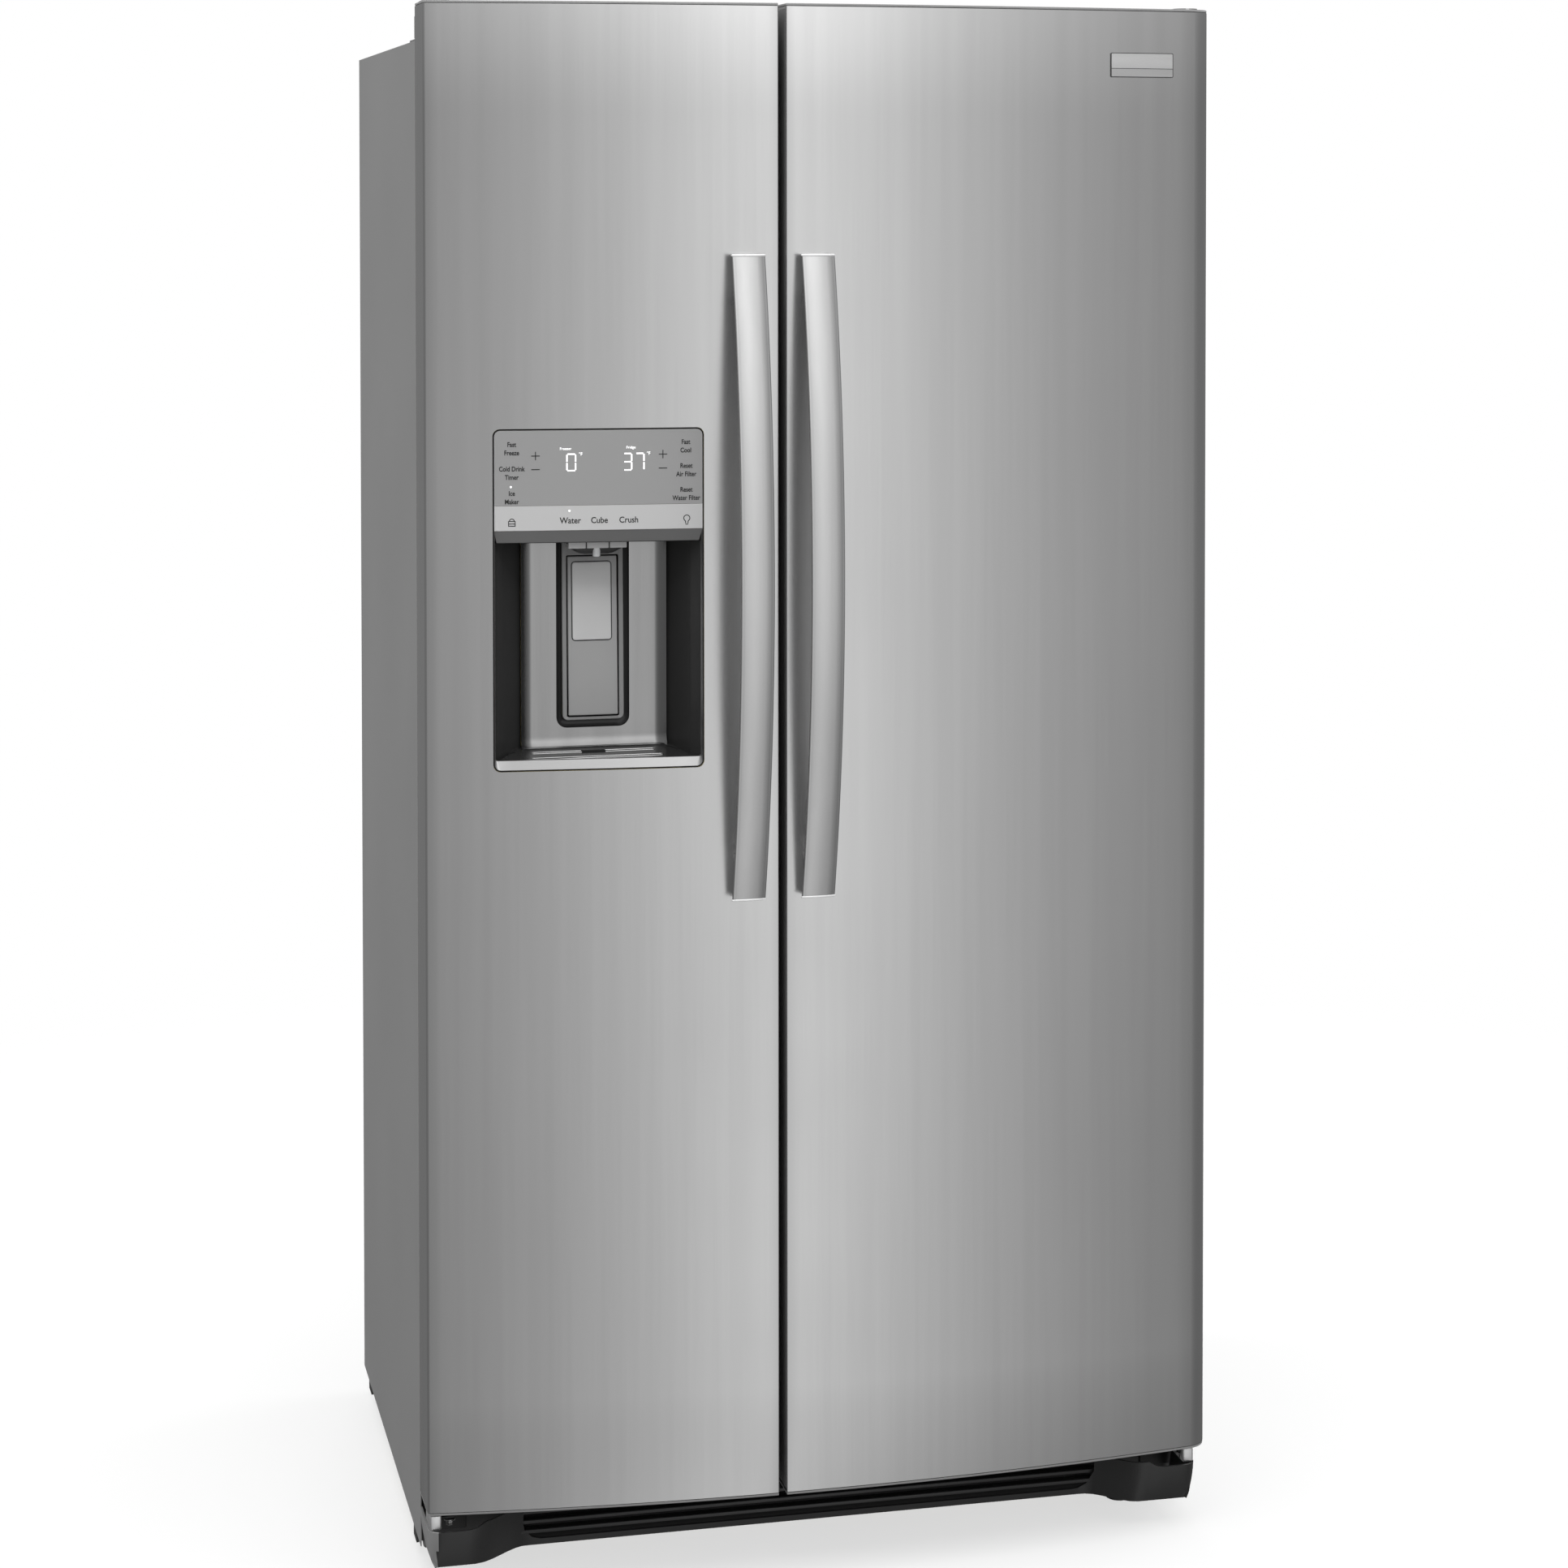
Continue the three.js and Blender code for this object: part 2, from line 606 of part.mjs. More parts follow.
function dispenserPaddle() {
  const { x0, x1, top, bottom, topY, bottomY, thick } = PADDLE;
  const side = [
    [topY - thick / 2, top],
    [bottomY - thick / 2, bottom],
    [bottomY + thick / 2, bottom],
    [topY + thick / 2, top],
  ];
  return alongX(side, x0, x1);
}

function chuteFlap() {
  return box(CHUTE.x0 + 1.5, CHUTE.x1 - 1.5, CHUTE.front + 1, CHUTE.back - 2, NICHE.z1 + 3, NICHE.z1 + 6);
}

// ---- inside ----
const SHELF_FRONT = -105;

function shelf(room, z, back) {
  const [x0, x1] = [room.x0 + 1, room.x1 - 1];
  return join(
    box(x0, x1, SHELF_FRONT, back, z, z + 6),
    box(x0, x1, SHELF_FRONT - 4, SHELF_FRONT + 10, z - 6, z + 10),
  );
}

function drawer(room, z0, z1, back) {
  const [x0, x1] = [room.x0 + 6, room.x1 - 6];
  return join(
    tub(x0, x1, SHELF_FRONT + 6, back, z0, z1, 3),
    box(x0 + 60, x1 - 60, SHELF_FRONT - 6, SHELF_FRONT + 8, z1 - 16, z1 - 6),
  );
}

function evaporatorCover() {
  const plate = box(FREEZER.x0 + 1, FREEZER.x1 - 1, 300, 303, CAVITY.humpTop + 2, CAVITY.top - 2);
  const slots = [];
  for (let row = 0; row < 8; row++) {
    const z = 420 + row * 16;
    slots.push(box(-330, -160, 295, 308, z, z + 8));
  }
  const fanRing = rod(52, -10, 10, 32).rotateX(Math.PI / 2).translate(EVAPORATOR_FAN.x, 301, EVAPORATOR_FAN.z);
  return cut(plate, ...slots, fanRing);
}

// Blades pitched round a hub; the axis is Z.
function fan(radius, depth, blades) {
  const parts = [rod(radius * 0.28, -depth / 2, depth / 2, 20)];
  for (let i = 0; i < blades; i++) {
    const blade = box(radius * 0.2, radius, -radius * 0.24, radius * 0.24, -0.8, 0.8);
    blade.rotateX(0.5).rotateZ((i * 2 * Math.PI) / blades);
    parts.push(blade);
  }
  return join(...parts);
}

const EVAPORATOR_FAN = { x: -244, y: 318, z: 1560, radius: 48 };
const CONDENSER_FAN = { x: 40, y: 300, z: 150, radius: 70 };
const ICE_BIN = { x0: -392, x1: -98, y0: -100, y1: 270, z0: 1230, z1: 1470 };
const AUGER = { x: -245, y: 85, z: 1285 };

function iceMaker() {
  return join(
    box(-392, -110, 0, 250, 1600, 1660),
    alongY([[-380, 1600], [-350, 1560], [-160, 1560], [-130, 1600]], 20, 230),
    box(-110, -94, -20, 60, 1540, 1660),
  );
}

function iceBin() {
  const { x0, x1, y0, y1, z0, z1 } = ICE_BIN;
  return join(tub(x0, x1, y0, y1, z0, z1, 3), box(x0, x1, y0 - 4, y0 + 1, z0 - 6, z1 + 30));
}

function iceAuger() {
  const parts = [rod(7, -150, 150, 16)];
  for (let i = 0; i < 6; i++) {
    const blade = box(-38, 38, -5, 5, -4, 4);
    blade.rotateZ((i * Math.PI) / 3).translate(0, 0, -125 + i * 50);
    parts.push(blade);
  }
  return join(...parts);
}

function compressor() {
  const shell = turned([[0, 0], [60, 0], [84, 20], [90, 60], [90, 110], [76, 150], [45, 168], [0, 172]], 28);
  return join(shell.translate(0, 0, 12), box(-95, 95, -70, 70, 0, 16));
}

function lightHousing() {
  return box(60, 310, -80, 150, 1648, CAVITY.top - CLEAR);
}

function freezerBasket() {
  return tub(FREEZER.x0 + 8, FREEZER.x1 - 8, SHELF_FRONT, 118, 165, 340, 3);
}

// A bin hooked between the dyke walls of a door.
function doorBin(door, z0, z1, back) {
  const { dyke } = door;
  const w = DYKE.wall + 1;
  return tub(dyke.x0 + w, dyke.x1 - w, DOOR_BACK + CLEAR, back, z0, z1, 3);
}

const DAIRY = { z0: 1500, z1: 1618, back: -130, lid: 3 };

function dairyBin() {
  const w = DYKE.wall + 1;
  const [x0, x1] = [FRESH_DOOR.dyke.x0 + w, FRESH_DOOR.dyke.x1 - w];
  const outer = box(x0, x1, DOOR_BACK + CLEAR, DAIRY.back, DAIRY.z0, DAIRY.z1);
  return cut(outer, box(x0 + 3, x1 - 3, DOOR_BACK + 4, DAIRY.back + 1, DAIRY.z0 + 3, DAIRY.z1 - 3));
}

function dairyLid() {
  const w = DYKE.wall + 3;
  const [x0, x1] = [FRESH_DOOR.dyke.x0 + w, FRESH_DOOR.dyke.x1 - w];
  return box(x0, x1, DAIRY.back + 0.8, DAIRY.back + 0.8 + DAIRY.lid, DAIRY.z0 + 4, DAIRY.z1 - 1);
}

// ---- assembly ----
piece("cabinet_wrapper", cabinetWrapper(), sidePaint);
piece("cabinet_foam", cabinetFoam(), foam);
piece("rear_panel", rearPanel(), sidePaint);
piece("front_frame", frontFrame(), sidePaint);
piece("freezer_liner", liner(FREEZER), whitePlastic);
piece("fresh_food_liner", liner(FRESH), whitePlastic);
piece("base_frame", baseFrame(), frameSteel);
piece("toe_grille", toeGrille(), darkPlastic);
piece("machine_cover", machineCover(), frameSteel);
piece("water_inlet_valve", waterInletValve(), whitePlastic);
piece("compressor", compressor(), black).position.set(-190, 295, 55.3);
pair("top_hinge_left", "top_hinge_right", topHinge(), plated);
pair("hinge_cover_left", "hinge_cover_right", hingeCover(), greyPlastic);
pair("bottom_hinge_left", "bottom_hinge_right", bottomHinge(), plated);

for (const [end, spec] of Object.entries({ front: FRONT_ROLLER, rear: REAR_ROLLER })) {
  for (const [side, x] of Object.entries({ left: -ROLLER_X, right: ROLLER_X })) {
    piece(`roller_${end}_${side}`, roller(spec.radius), greyPlastic).position.set(x, spec.y, spec.z);
  }
}
for (const [side, x] of Object.entries({ left: -FOOT.x, right: FOOT.x })) {
  piece(`levelling_foot_${side}`, levellingFoot(), black).position.set(x, FOOT.y, 0);
}

const condenserFan = piece("condenser_fan", fan(CONDENSER_FAN.radius, 24, 5), black);
condenserFan.position.set(CONDENSER_FAN.x, CONDENSER_FAN.y, CONDENSER_FAN.z);
condenserFan.rotation.y = Math.PI / 2;
const evaporatorFan = piece("evaporator_fan", fan(EVAPORATOR_FAN.radius, 16, 5), black);
evaporatorFan.position.set(EVAPORATOR_FAN.x, EVAPORATOR_FAN.y, EVAPORATOR_FAN.z);
evaporatorFan.rotation.x = Math.PI / 2;
const auger = piece("ice_auger", iceAuger(), plated);
auger.position.set(AUGER.x, AUGER.y, AUGER.z);
auger.rotation.x = Math.PI / 2;

piece("evaporator_cover", evaporatorCover(), whitePlastic);
piece("ice_maker", iceMaker(), whitePlastic);
piece("ice_bin", iceBin(), clearPlastic);
piece("freezer_shelf", shelf(FREEZER, 860, 290), glass);
piece("freezer_basket", freezerBasket(), whitePlastic);
piece("fridge_shelf_upper", shelf(FRESH, 1330, 330), glass);
piece("fridge_shelf_lower", shelf(FRESH, 960, 330), glass);
piece("deli_drawer", drawer(FRESH, 380, 570, 320), clearPlastic);
piece("crisper_drawer", drawer(FRESH, 156, 345, 120), clearPlastic);
piece("light_housing", lightHousing(), whitePlastic);

const doorSets = [
  ["freezer_door", FREEZER_DOOR, freezerDoor],
  ["fridge_door", FRESH_DOOR, freshDoor],
];
doorSets.forEach(([name, door, group], i) => {
  const dispensing = door === FREEZER_DOOR;
  const skin = doorSkin(door);
  const core = doorFoam(door);
  piece(`${name}_skin`, dispensing ? cut(skin, dispenserHole(-300)) : skin, stainless, group);
  piece(`${name}_foam`, dispensing ? cut(core, dispenserHole(DISPENSER.back + CLEAR)) : core, foam, group);
  piece(`${name}_inner_panel`, innerPanel(door), whitePlastic, group);
  piece(`${name}_cap_top`, endCap(door, DOOR_TOP, -1, PIN.top), darkPlastic, group);
  piece(`${name}_cap_bottom`, endCap(door, DOOR_BOTTOM, 1, PIN.bottom), darkPlastic, group);
  piece(`${name}_gasket`, gasket(door), rubber, group);
  piece(`${name}_handle`, handle(door, HANDLE_X[i]), handleSteel, group);
});
piece("dispenser_housing", dispenserHousing(), darkPlastic, freezerDoor);
piece("dispenser_panel", controlPanel(), panelGrey, freezerDoor);
piece("dispenser_drip_tray", dripTray(), darkPlastic, freezerDoor);
piece("dispenser_paddle", dispenserPaddle(), greyPlastic, freezerDoor);
piece("dispenser_chute_flap", chuteFlap(), darkPlastic, freezerDoor);
piece("freezer_door_bin", doorBin(FREEZER_DOOR, 480, 600, -125), clearPlastic, freezerDoor);
piece("fridge_door_bin", doorBin(FRESH_DOOR, 700, 840, -125), clearPlastic, freshDoor);
piece("dairy_bin", dairyBin(), clearPlastic, freshDoor);
piece("dairy_lid", dairyLid(), clearPlastic, freshDoor);

// The blank name plate lies on the bow, turned to its slope.
const BADGE = { x: 367.2, z: 1708, width: 78.5, height: 28, thick: 1.6 };
const badge = piece(
  "badge_plate",
  box(-BADGE.width / 2, BADGE.width / 2, -BADGE.thick, 0, -BADGE.height / 2, BADGE.height / 2),
  plated,
  freshDoor,
);
badge.position.set(BADGE.x, bowFront(BADGE.x) - CLEAR, BADGE.z);
badge.rotation.z = Math.asin(BADGE.x / BOW_RADIUS);

export default refrigerator;
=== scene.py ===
from math import asin, atan2, cos, hypot, pi, radians, sin, sqrt, tan

import bmesh
import bpy
from mathutils import Euler, Matrix, Vector


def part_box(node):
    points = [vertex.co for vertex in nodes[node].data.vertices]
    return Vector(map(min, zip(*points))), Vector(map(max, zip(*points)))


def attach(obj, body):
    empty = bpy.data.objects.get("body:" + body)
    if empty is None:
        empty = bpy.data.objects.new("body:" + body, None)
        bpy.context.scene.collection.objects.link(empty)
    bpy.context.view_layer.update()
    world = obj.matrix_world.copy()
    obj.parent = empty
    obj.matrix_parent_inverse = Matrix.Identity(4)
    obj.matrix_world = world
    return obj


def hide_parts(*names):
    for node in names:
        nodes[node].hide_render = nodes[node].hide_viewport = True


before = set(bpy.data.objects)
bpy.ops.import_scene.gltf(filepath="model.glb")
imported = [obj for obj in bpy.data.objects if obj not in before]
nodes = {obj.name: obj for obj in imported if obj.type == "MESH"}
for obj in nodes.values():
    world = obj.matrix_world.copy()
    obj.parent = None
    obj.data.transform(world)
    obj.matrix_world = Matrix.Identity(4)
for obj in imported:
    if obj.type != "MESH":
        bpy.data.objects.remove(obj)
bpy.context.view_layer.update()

scene = bpy.context.scene
mm = 0.001

# camera

view = {
    "place": (-0.9072, -4.140, 1.5684),
    "yaw": 0.2409,      # to the right of straight ahead
    "pitch": -0.0293,
    "lens": 80.27,
    "sensor": 36,
    "shift": (-0.0473, -0.3154),
}


def addCamera():
    data = bpy.data.cameras.new("studioCamera")
    data.lens = view["lens"]
    data.sensor_width = view["sensor"]
    data.shift_x, data.shift_y = view["shift"]
    data.clip_end = 60
    camera = bpy.data.objects.new("studioCamera", data)
    camera.location = view["place"]
    camera.rotation_euler = Euler((pi / 2 + view["pitch"], 0, -view["yaw"]))
    scene.collection.objects.link(camera)
    scene.camera = camera


addCamera()
print("camera ready")

# small mesh tools


def span(start, end, steps):
    return [start + (end - start) * i / steps for i in range(steps + 1)]


def arcPoints(cx, cy, radius, start, end, steps):
    return [(cx + radius * cos(a), cy + radius * sin(a)) for a in span(start, end, steps)]


def roundedRect(x0, x1, y0, y1, radius, steps=5):
    corners = [(x1, y0, -1), (x1, y1, 0), (x0, y1, 1), (x0, y0, 2)]
    points = []
    for x, y, quarter in corners:
        cx = x - radius if x == x1 else x + radius
        cy = y - radius if y == y1 else y + radius
        points += arcPoints(cx, cy, radius, quarter * pi / 2, (quarter + 1) * pi / 2, steps)
    return points


def softEdges(mesh, degrees=35):
    bm = bmesh.new()
    bm.from_mesh(mesh)
    bmesh.ops.recalc_face_normals(bm, faces=bm.faces)
    for face in bm.faces:
        face.smooth = True
    for edge in bm.edges:
        edge.smooth = len(edge.link_faces) == 2 and edge.calc_face_angle(0) < radians(degrees)
    bm.to_mesh(mesh)
    bm.free()


# parts is the piece's mesh, or a list of meshes that make it up
def addPiece(name, parts, material, body, stands=(), degrees=35):
    mesh = joinMeshes(parts) if isinstance(parts, list) else parts
    mesh.name = name
    softEdges(mesh, degrees)
    piece = bpy.data.objects.new(name, mesh)
    scene.collection.objects.link(piece)
    mesh.materials.clear()
    mesh.materials.append(material)
    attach(piece, body)
    if stands:
        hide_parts(*stands)
    return piece


def meshOf(bm):
    mesh = bpy.data.meshes.new("mesh")
    bm.to_mesh(mesh)
    bm.free()
    return mesh


# rings all have the same number of points; the ends are closed by flat faces
def loft(rings, closed=True, caps=True, startCap=True):
    bm = bmesh.new()
    made = [[bm.verts.new(p) for p in ring] for ring in rings]
    count = len(rings[0])
    last = count if closed else count - 1
    for low, high in zip(made, made[1:]):
        for i in range(last):
            j = (i + 1) % count
            bm.faces.new((low[i], low[j], high[j], high[i]))
    if caps and startCap:
        bm.faces.new(list(reversed(made[0])))
    if caps:
        bm.faces.new(made[-1])
    return meshOf(bm)


# rounded outlines in x and z for steps of inset in millimetres and y; radius is a length,
# or a function that gives one for an inset
def facingRings(x0, x1, z0, z1, steps, radius, segments=5):
    rings = []
    for inset, y in steps:
        i = inset * mm
        corner = radius(i) if callable(radius) else radius
        outline = roundedRect(x0 + i, x1 - i, z0 + i, z1 - i, corner, segments)
        rings.append([Vector((x, y, z)) for x, z in outline])
    return rings


# the rows of an open surface
def openSheet(rows):
    return loft(rows, closed=False, caps=False)


def hexRing(x, y, z, radius, turn=0.0):
    angles = span(turn, turn + 2 * pi, 6)[:-1]
    return [Vector((x + radius * cos(a), y + radius * sin(a), z)) for a in angles]


def circleRing(x, y, z, radius, steps=24):
    return [Vector((a, b, z)) for a, b in arcPoints(x, y, radius, 0, 2 * pi, steps)[:-1]]


# a block with every edge rounded
def roundedBlock(low, high, radius, segments=3):
    bm = bmesh.new()
    bmesh.ops.create_cube(bm, size=1)
    low, high = Vector(low), Vector(high)
    for vert in bm.verts:
        vert.co = (low + high) / 2 + Vector(a * b for a, b in zip(vert.co, high - low))
    bmesh.ops.bevel(
        bm, geom=bm.edges[:], offset=radius, offset_type="OFFSET",
        segments=segments, profile=0.5, affect="EDGES", clamp_overlap=True,
    )
    return meshOf(bm)


def joinMeshes(meshes):
    bm = bmesh.new()
    for mesh in meshes:
        bm.from_mesh(mesh)
    return meshOf(bm)


def moved(mesh, matrix):
    mesh.transform(matrix)
    return mesh


# a sheet over a grid of u and v, with a round-cornered hole if one is given
def sheetWithHole(columns, rows, surface, hole=None, steps=6):
    bm = bmesh.new()
    made = {}

    def vert(u, v):
        key = (round(u, 6), round(v, 6))
        if key not in made:
            made[key] = bm.verts.new(surface(u, v))
        return made[key]

    for u0, u1 in zip(columns, columns[1:]):
        for v0, v1 in zip(rows, rows[1:]):
            if hole:
                u, v = (u0 + u1) / 2, (v0 + v1) / 2
                if hole["u0"] < u < hole["u1"] and hole["v0"] < v < hole["v1"]:
                    continue
            bm.faces.new((vert(u0, v0), vert(u1, v0), vert(u1, v1), vert(u0, v1)))
    if hole:
        corners = ((hole["u0"], hole["v0"], 1, 1, 2), (hole["u1"], hole["v0"], -1, 1, 3),
                   (hole["u1"], hole["v1"], -1, -1, 0), (hole["u0"], hole["v1"], 1, -1, 1))
        for u, v, du, dv, quarter in corners:
            radius = hole["low"] if dv > 0 else hole["high"]
            if radius == 0:
                continue
            cu, cv = u + du * radius, v + dv * radius
            arc = arcPoints(cu, cv, radius, quarter * pi / 2, (quarter + 1) * pi / 2, steps)
            bm.faces.new([vert(u, v)] + [vert(a, b) for a, b in arc])
    bmesh.ops.recalc_face_normals(bm, faces=bm.faces)
    return meshOf(bm)


def holeLines(hole):
    us = [hole["u0"], hole["u0"] + hole["low"], hole["u1"] - hole["low"], hole["u1"]]
    us += [hole["u0"] + hole["high"], hole["u1"] - hole["high"]]
    vs = [hole["v0"], hole["v0"] + hole["low"], hole["v1"] - hole["high"], hole["v1"]]
    return us, vs


def merged(values, extra, least=1e-5):
    result = []
    for value in sorted(list(values) + list(extra)):
        if not result or value - result[-1] > least:
            result.append(value)
    return result


def thicken(piece, depth, offset=-1.0):
    modifier = piece.modifiers.new("thickness", "SOLIDIFY")
    modifier.thickness = depth
    modifier.offset = offset
    return piece


def bevelled(piece, width, segments=2):
    modifier = piece.modifiers.new("edges", "BEVEL")
    modifier.width = width
    modifier.segments = segments
    modifier.limit_method = "ANGLE"
    modifier.angle_limit = radians(35)
    modifier.harden_normals = False
    return piece


# materials


def newMaterial(name, color, roughness, metallic=0.0):
    material = bpy.data.materials.new(name)
    material.use_nodes = True
    shader = material.node_tree.nodes["Principled BSDF"]
    shader.inputs["Base Color"].default_value = (*color, 1)
    shader.inputs["Roughness"].default_value = roughness
    shader.inputs["Metallic"].default_value = metallic
    return material, material.node_tree, shader


def stretchedNoise(tree, scale, detail=4, roughness=0.6):
    place = tree.nodes.new("ShaderNodeTexCoord")
    mapping = tree.nodes.new("ShaderNodeMapping")
    mapping.inputs["Scale"].default_value = scale
    noise = tree.nodes.new("ShaderNodeTexNoise")
    noise.inputs["Scale"].default_value = 1
    noise.inputs["Detail"].default_value = detail
    noise.inputs["Roughness"].default_value = roughness
    tree.links.new(place.outputs["Object"], mapping.inputs["Vector"])
    tree.links.new(mapping.outputs["Vector"], noise.inputs["Vector"])
    return noise.outputs["Fac"]


def ranged(tree, source, low, high, fromLow=0.3, fromHigh=0.7):
    node = tree.nodes.new("ShaderNodeMapRange")
    node.inputs["From Min"].default_value = fromLow
    node.inputs["From Max"].default_value = fromHigh
    node.inputs["To Min"].default_value = low
    node.inputs["To Max"].default_value = high
    tree.links.new(source, node.inputs["Value"])
    return node.outputs["Result"]


def shades(tree, source, dark, light):
    ramp = tree.nodes.new("ShaderNodeValToRGB")
    ramp.color_ramp.elements[0].position = 0.3
    ramp.color_ramp.elements[1].position = 0.7
    ramp.color_ramp.elements[0].color = (*dark, 1)
    ramp.color_ramp.elements[1].color = (*light, 1)
    tree.links.new(source, ramp.inputs["Fac"])
    return ramp.outputs["Color"]


def bumpFrom(tree, shader, source, distance, strength=1.0):
    bump = tree.nodes.new("ShaderNodeBump")
    bump.inputs["Distance"].default_value = distance
    bump.inputs["Strength"].default_value = strength
    tree.links.new(source, bump.inputs["Height"])
    tree.links.new(bump.outputs["Normal"], shader.inputs["Normal"])


def grey(value):
    return (value, value, value)


# fine parallel scratches along one axis, with faint wide bands and smudges
def brushedMetal(name, tone, roughness, along="z", spread=0.05, grain=0.00002):
    material, tree, shader = newMaterial(name, grey(tone), roughness, 1.0)
    fine = {"z": (2600, 2600, 9), "x": (9, 2600, 2600), "y": (2600, 9, 2600)}[along]
    broad = {"z": (60, 60, 1.2), "x": (1.2, 60, 60), "y": (60, 1.2, 60)}[along]
    scratches = stretchedNoise(tree, fine, 3, 0.7)
    bands = stretchedNoise(tree, broad, 2, 0.5)
    smudges = stretchedNoise(tree, (3, 3, 3), 3, 0.5)
    mix = tree.nodes.new("ShaderNodeMath")
    mix.operation = "MULTIPLY_ADD"
    mix.inputs[1].default_value = 0.6
    tree.links.new(scratches, mix.inputs[0])
    tree.links.new(ranged(tree, bands, 0, 0.4), mix.inputs[2])
    lowTone, highTone = tone * (1 - spread), min(tone * (1 + spread), 1)
    tree.links.new(shades(tree, mix.outputs[0], grey(lowTone), grey(highTone)), shader.inputs["Base Color"])
    tree.links.new(ranged(tree, smudges, roughness - 0.02, roughness + 0.03), shader.inputs["Roughness"])
    bumpFrom(tree, shader, scratches, grain)
    return material


# moulded plastic or paint with a fine leathered skin
def mouldedSkin(name, color, roughness, pebble=900, depth=0.00003, metallic=0.0, vary=0.06):
    material, tree, shader = newMaterial(name, color, roughness, metallic)
    skin = stretchedNoise(tree, (pebble, pebble, pebble), 3, 0.55)
    cloud = stretchedNoise(tree, (5, 5, 5), 4, 0.5)
    dark = [c * (1 - vary) for c in color]
    light = [min(c * (1 + vary), 1) for c in color]
    tree.links.new(shades(tree, cloud, dark, light), shader.inputs["Base Color"])
    polish = ranged(tree, cloud, roughness * (1 - vary), roughness * (1 + vary))
    tree.links.new(polish, shader.inputs["Roughness"])
    bumpFrom(tree, shader, skin, depth)
    return material


def clearSkin(name, color, roughness, alpha):
    material, tree, shader = newMaterial(name, color, roughness)
    shader.inputs["Transmission Weight"].default_value = 1.0 - alpha
    shader.inputs["IOR"].default_value = 1.3
    haze = stretchedNoise(tree, (14, 14, 14), 3, 0.5)
    tree.links.new(ranged(tree, haze, roughness, roughness + 0.12), shader.inputs["Roughness"])
    tree.links.new(shades(tree, haze, [c * 0.96 for c in color], color), shader.inputs["Base Color"])
    return material


def glowing(name, color, strength):
    material, tree, shader = newMaterial(name, color, 0.5)
    flicker = stretchedNoise(tree, (400, 400, 400), 2, 0.5)
    shader.inputs["Emission Strength"].default_value = strength
    tree.links.new(shades(tree, flicker, [c * 0.96 for c in color], color), shader.inputs["Emission Color"])
    return material


tones = {
    "door": 0.635,
    "handle": 0.62,
    "side": 0.28,
    "plated": 0.75,
    "grille": 0.022,
    "panel": 0.36,
    "bar": 0.61,
}
doorSteel = brushedMetal("doorSteel", tones["door"], 0.22, spread=0.025, grain=0.000006)
handleSteel = brushedMetal("handleSteel", tones["handle"], 0.24, spread=0.03, grain=0.000006)
platedSteel = brushedMetal("platedSteel", tones["plated"], 0.25, along="x")
lipSteel = brushedMetal("lipSteel", 0.62, 0.3, along="x")
frameSteel = mouldedSkin("frameSteel", grey(0.22), 0.5, 300, metallic=0.8)
sidePaint = mouldedSkin("sidePaint", grey(tones["side"]), 0.42, 420, 0.00006, metallic=0.2, vary=0.03)
charcoal = mouldedSkin("charcoal", grey(tones["grille"]), 0.34, 1200, 0.00001)
# near-black for the niche walls, ceiling, paddle groove, chute funnel and chute flap: painted shade, as these
# stand in the dark of the recess
nichePaintedShade = mouldedSkin("nichePaintedShade", grey(0.035), 0.35, 1600, 0.00001)
nicheGrey = brushedMetal("nicheGrey", 0.34, 0.24, grain=0.000008)
paddleGrey = mouldedSkin("paddleGrey", grey(0.41), 0.4, 1500, 0.00001)
# light grey of the paddle pad, also used as painted light on the chute blocks
padGreyAndPaintedLight = mouldedSkin("padGreyAndPaintedLight", grey(0.68), 0.45, 1500, 0.00001)
# near-black for the seams, and painted shade in the tray slots, the well round the paddle and the space
# behind the grille
seamBlackAndPaintedShade = mouldedSkin("seamBlackAndPaintedShade", grey(0.008), 0.6, 900)
capPlastic = mouldedSkin("capPlastic", grey(0.27), 0.5, 1100)
panelFace = mouldedSkin("panelFace", grey(tones["panel"]), 0.3, 2000, 0.000004, vary=0.006)
barFace = mouldedSkin("barFace", grey(tones["bar"]), 0.34, 2000, 0.000004, vary=0.006)
inkDark = mouldedSkin("inkDark", grey(0.02), 0.6, 2500, 0.000002)
digitGlow = glowing("digitGlow", (1, 1, 1), 1.1)
whiteLiner = mouldedSkin("whiteLiner", (0.84, 0.85, 0.86), 0.3, 700, 0.00002, vary=0.02)
clearBin = clearSkin("clearBin", (0.93, 0.96, 0.97), 0.12, 0.25)
shelfGlass = clearSkin("shelfGlass", (0.86, 0.95, 0.92), 0.03, 0.15)
sealRubber = mouldedSkin("sealRubber", grey(0.07), 0.7, 800)
foamFill = mouldedSkin("foamFill", (0.75, 0.66, 0.38), 0.9, 200, 0.0004, vary=0.12)
# black for the compressor, feet and base frame; on the base frame it is also painted shade
blackMetalAndPaintedShade = mouldedSkin("blackMetalAndPaintedShade", grey(0.02), 0.4, 500)
wheelPlastic = mouldedSkin("wheelPlastic", grey(0.16), 0.5, 700)
trimGrey = mouldedSkin("trimGrey", (0.5, 0.51, 0.52), 0.35, 900, 0.00001, vary=0.02)
lampCover = mouldedSkin("lampCover", (0.95, 0.95, 0.93), 0.25, 500, 0.00001, vary=0.01)
backPaint = mouldedSkin("backPaint", grey(0.32), 0.5, 500, 0.00004, metallic=0.3, vary=0.04)
pipeSteel = brushedMetal("pipeSteel", 0.5, 0.35, along="x")
print("materials ready")

# the bowed door fronts share one circle

bow = {
    "apex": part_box("fridge_door_skin")[0].y,
    "halfWidth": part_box("fridge_door_skin")[1].x,
    "fall": 32.9 * mm,      # from the middle to the outer edges
    "leftRound": 3 * mm,
    "rightRound": 26 * mm,
    "gapRound": 1 * mm,
    "back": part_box("fridge_door_skin")[1].y,
}
bowRadius = (bow["halfWidth"] ** 2 + bow["fall"] ** 2) / (2 * bow["fall"])
bowCentre = bow["apex"] + bowRadius


def bowY(x):
    return bowCentre - sqrt(bowRadius ** 2 - x ** 2)


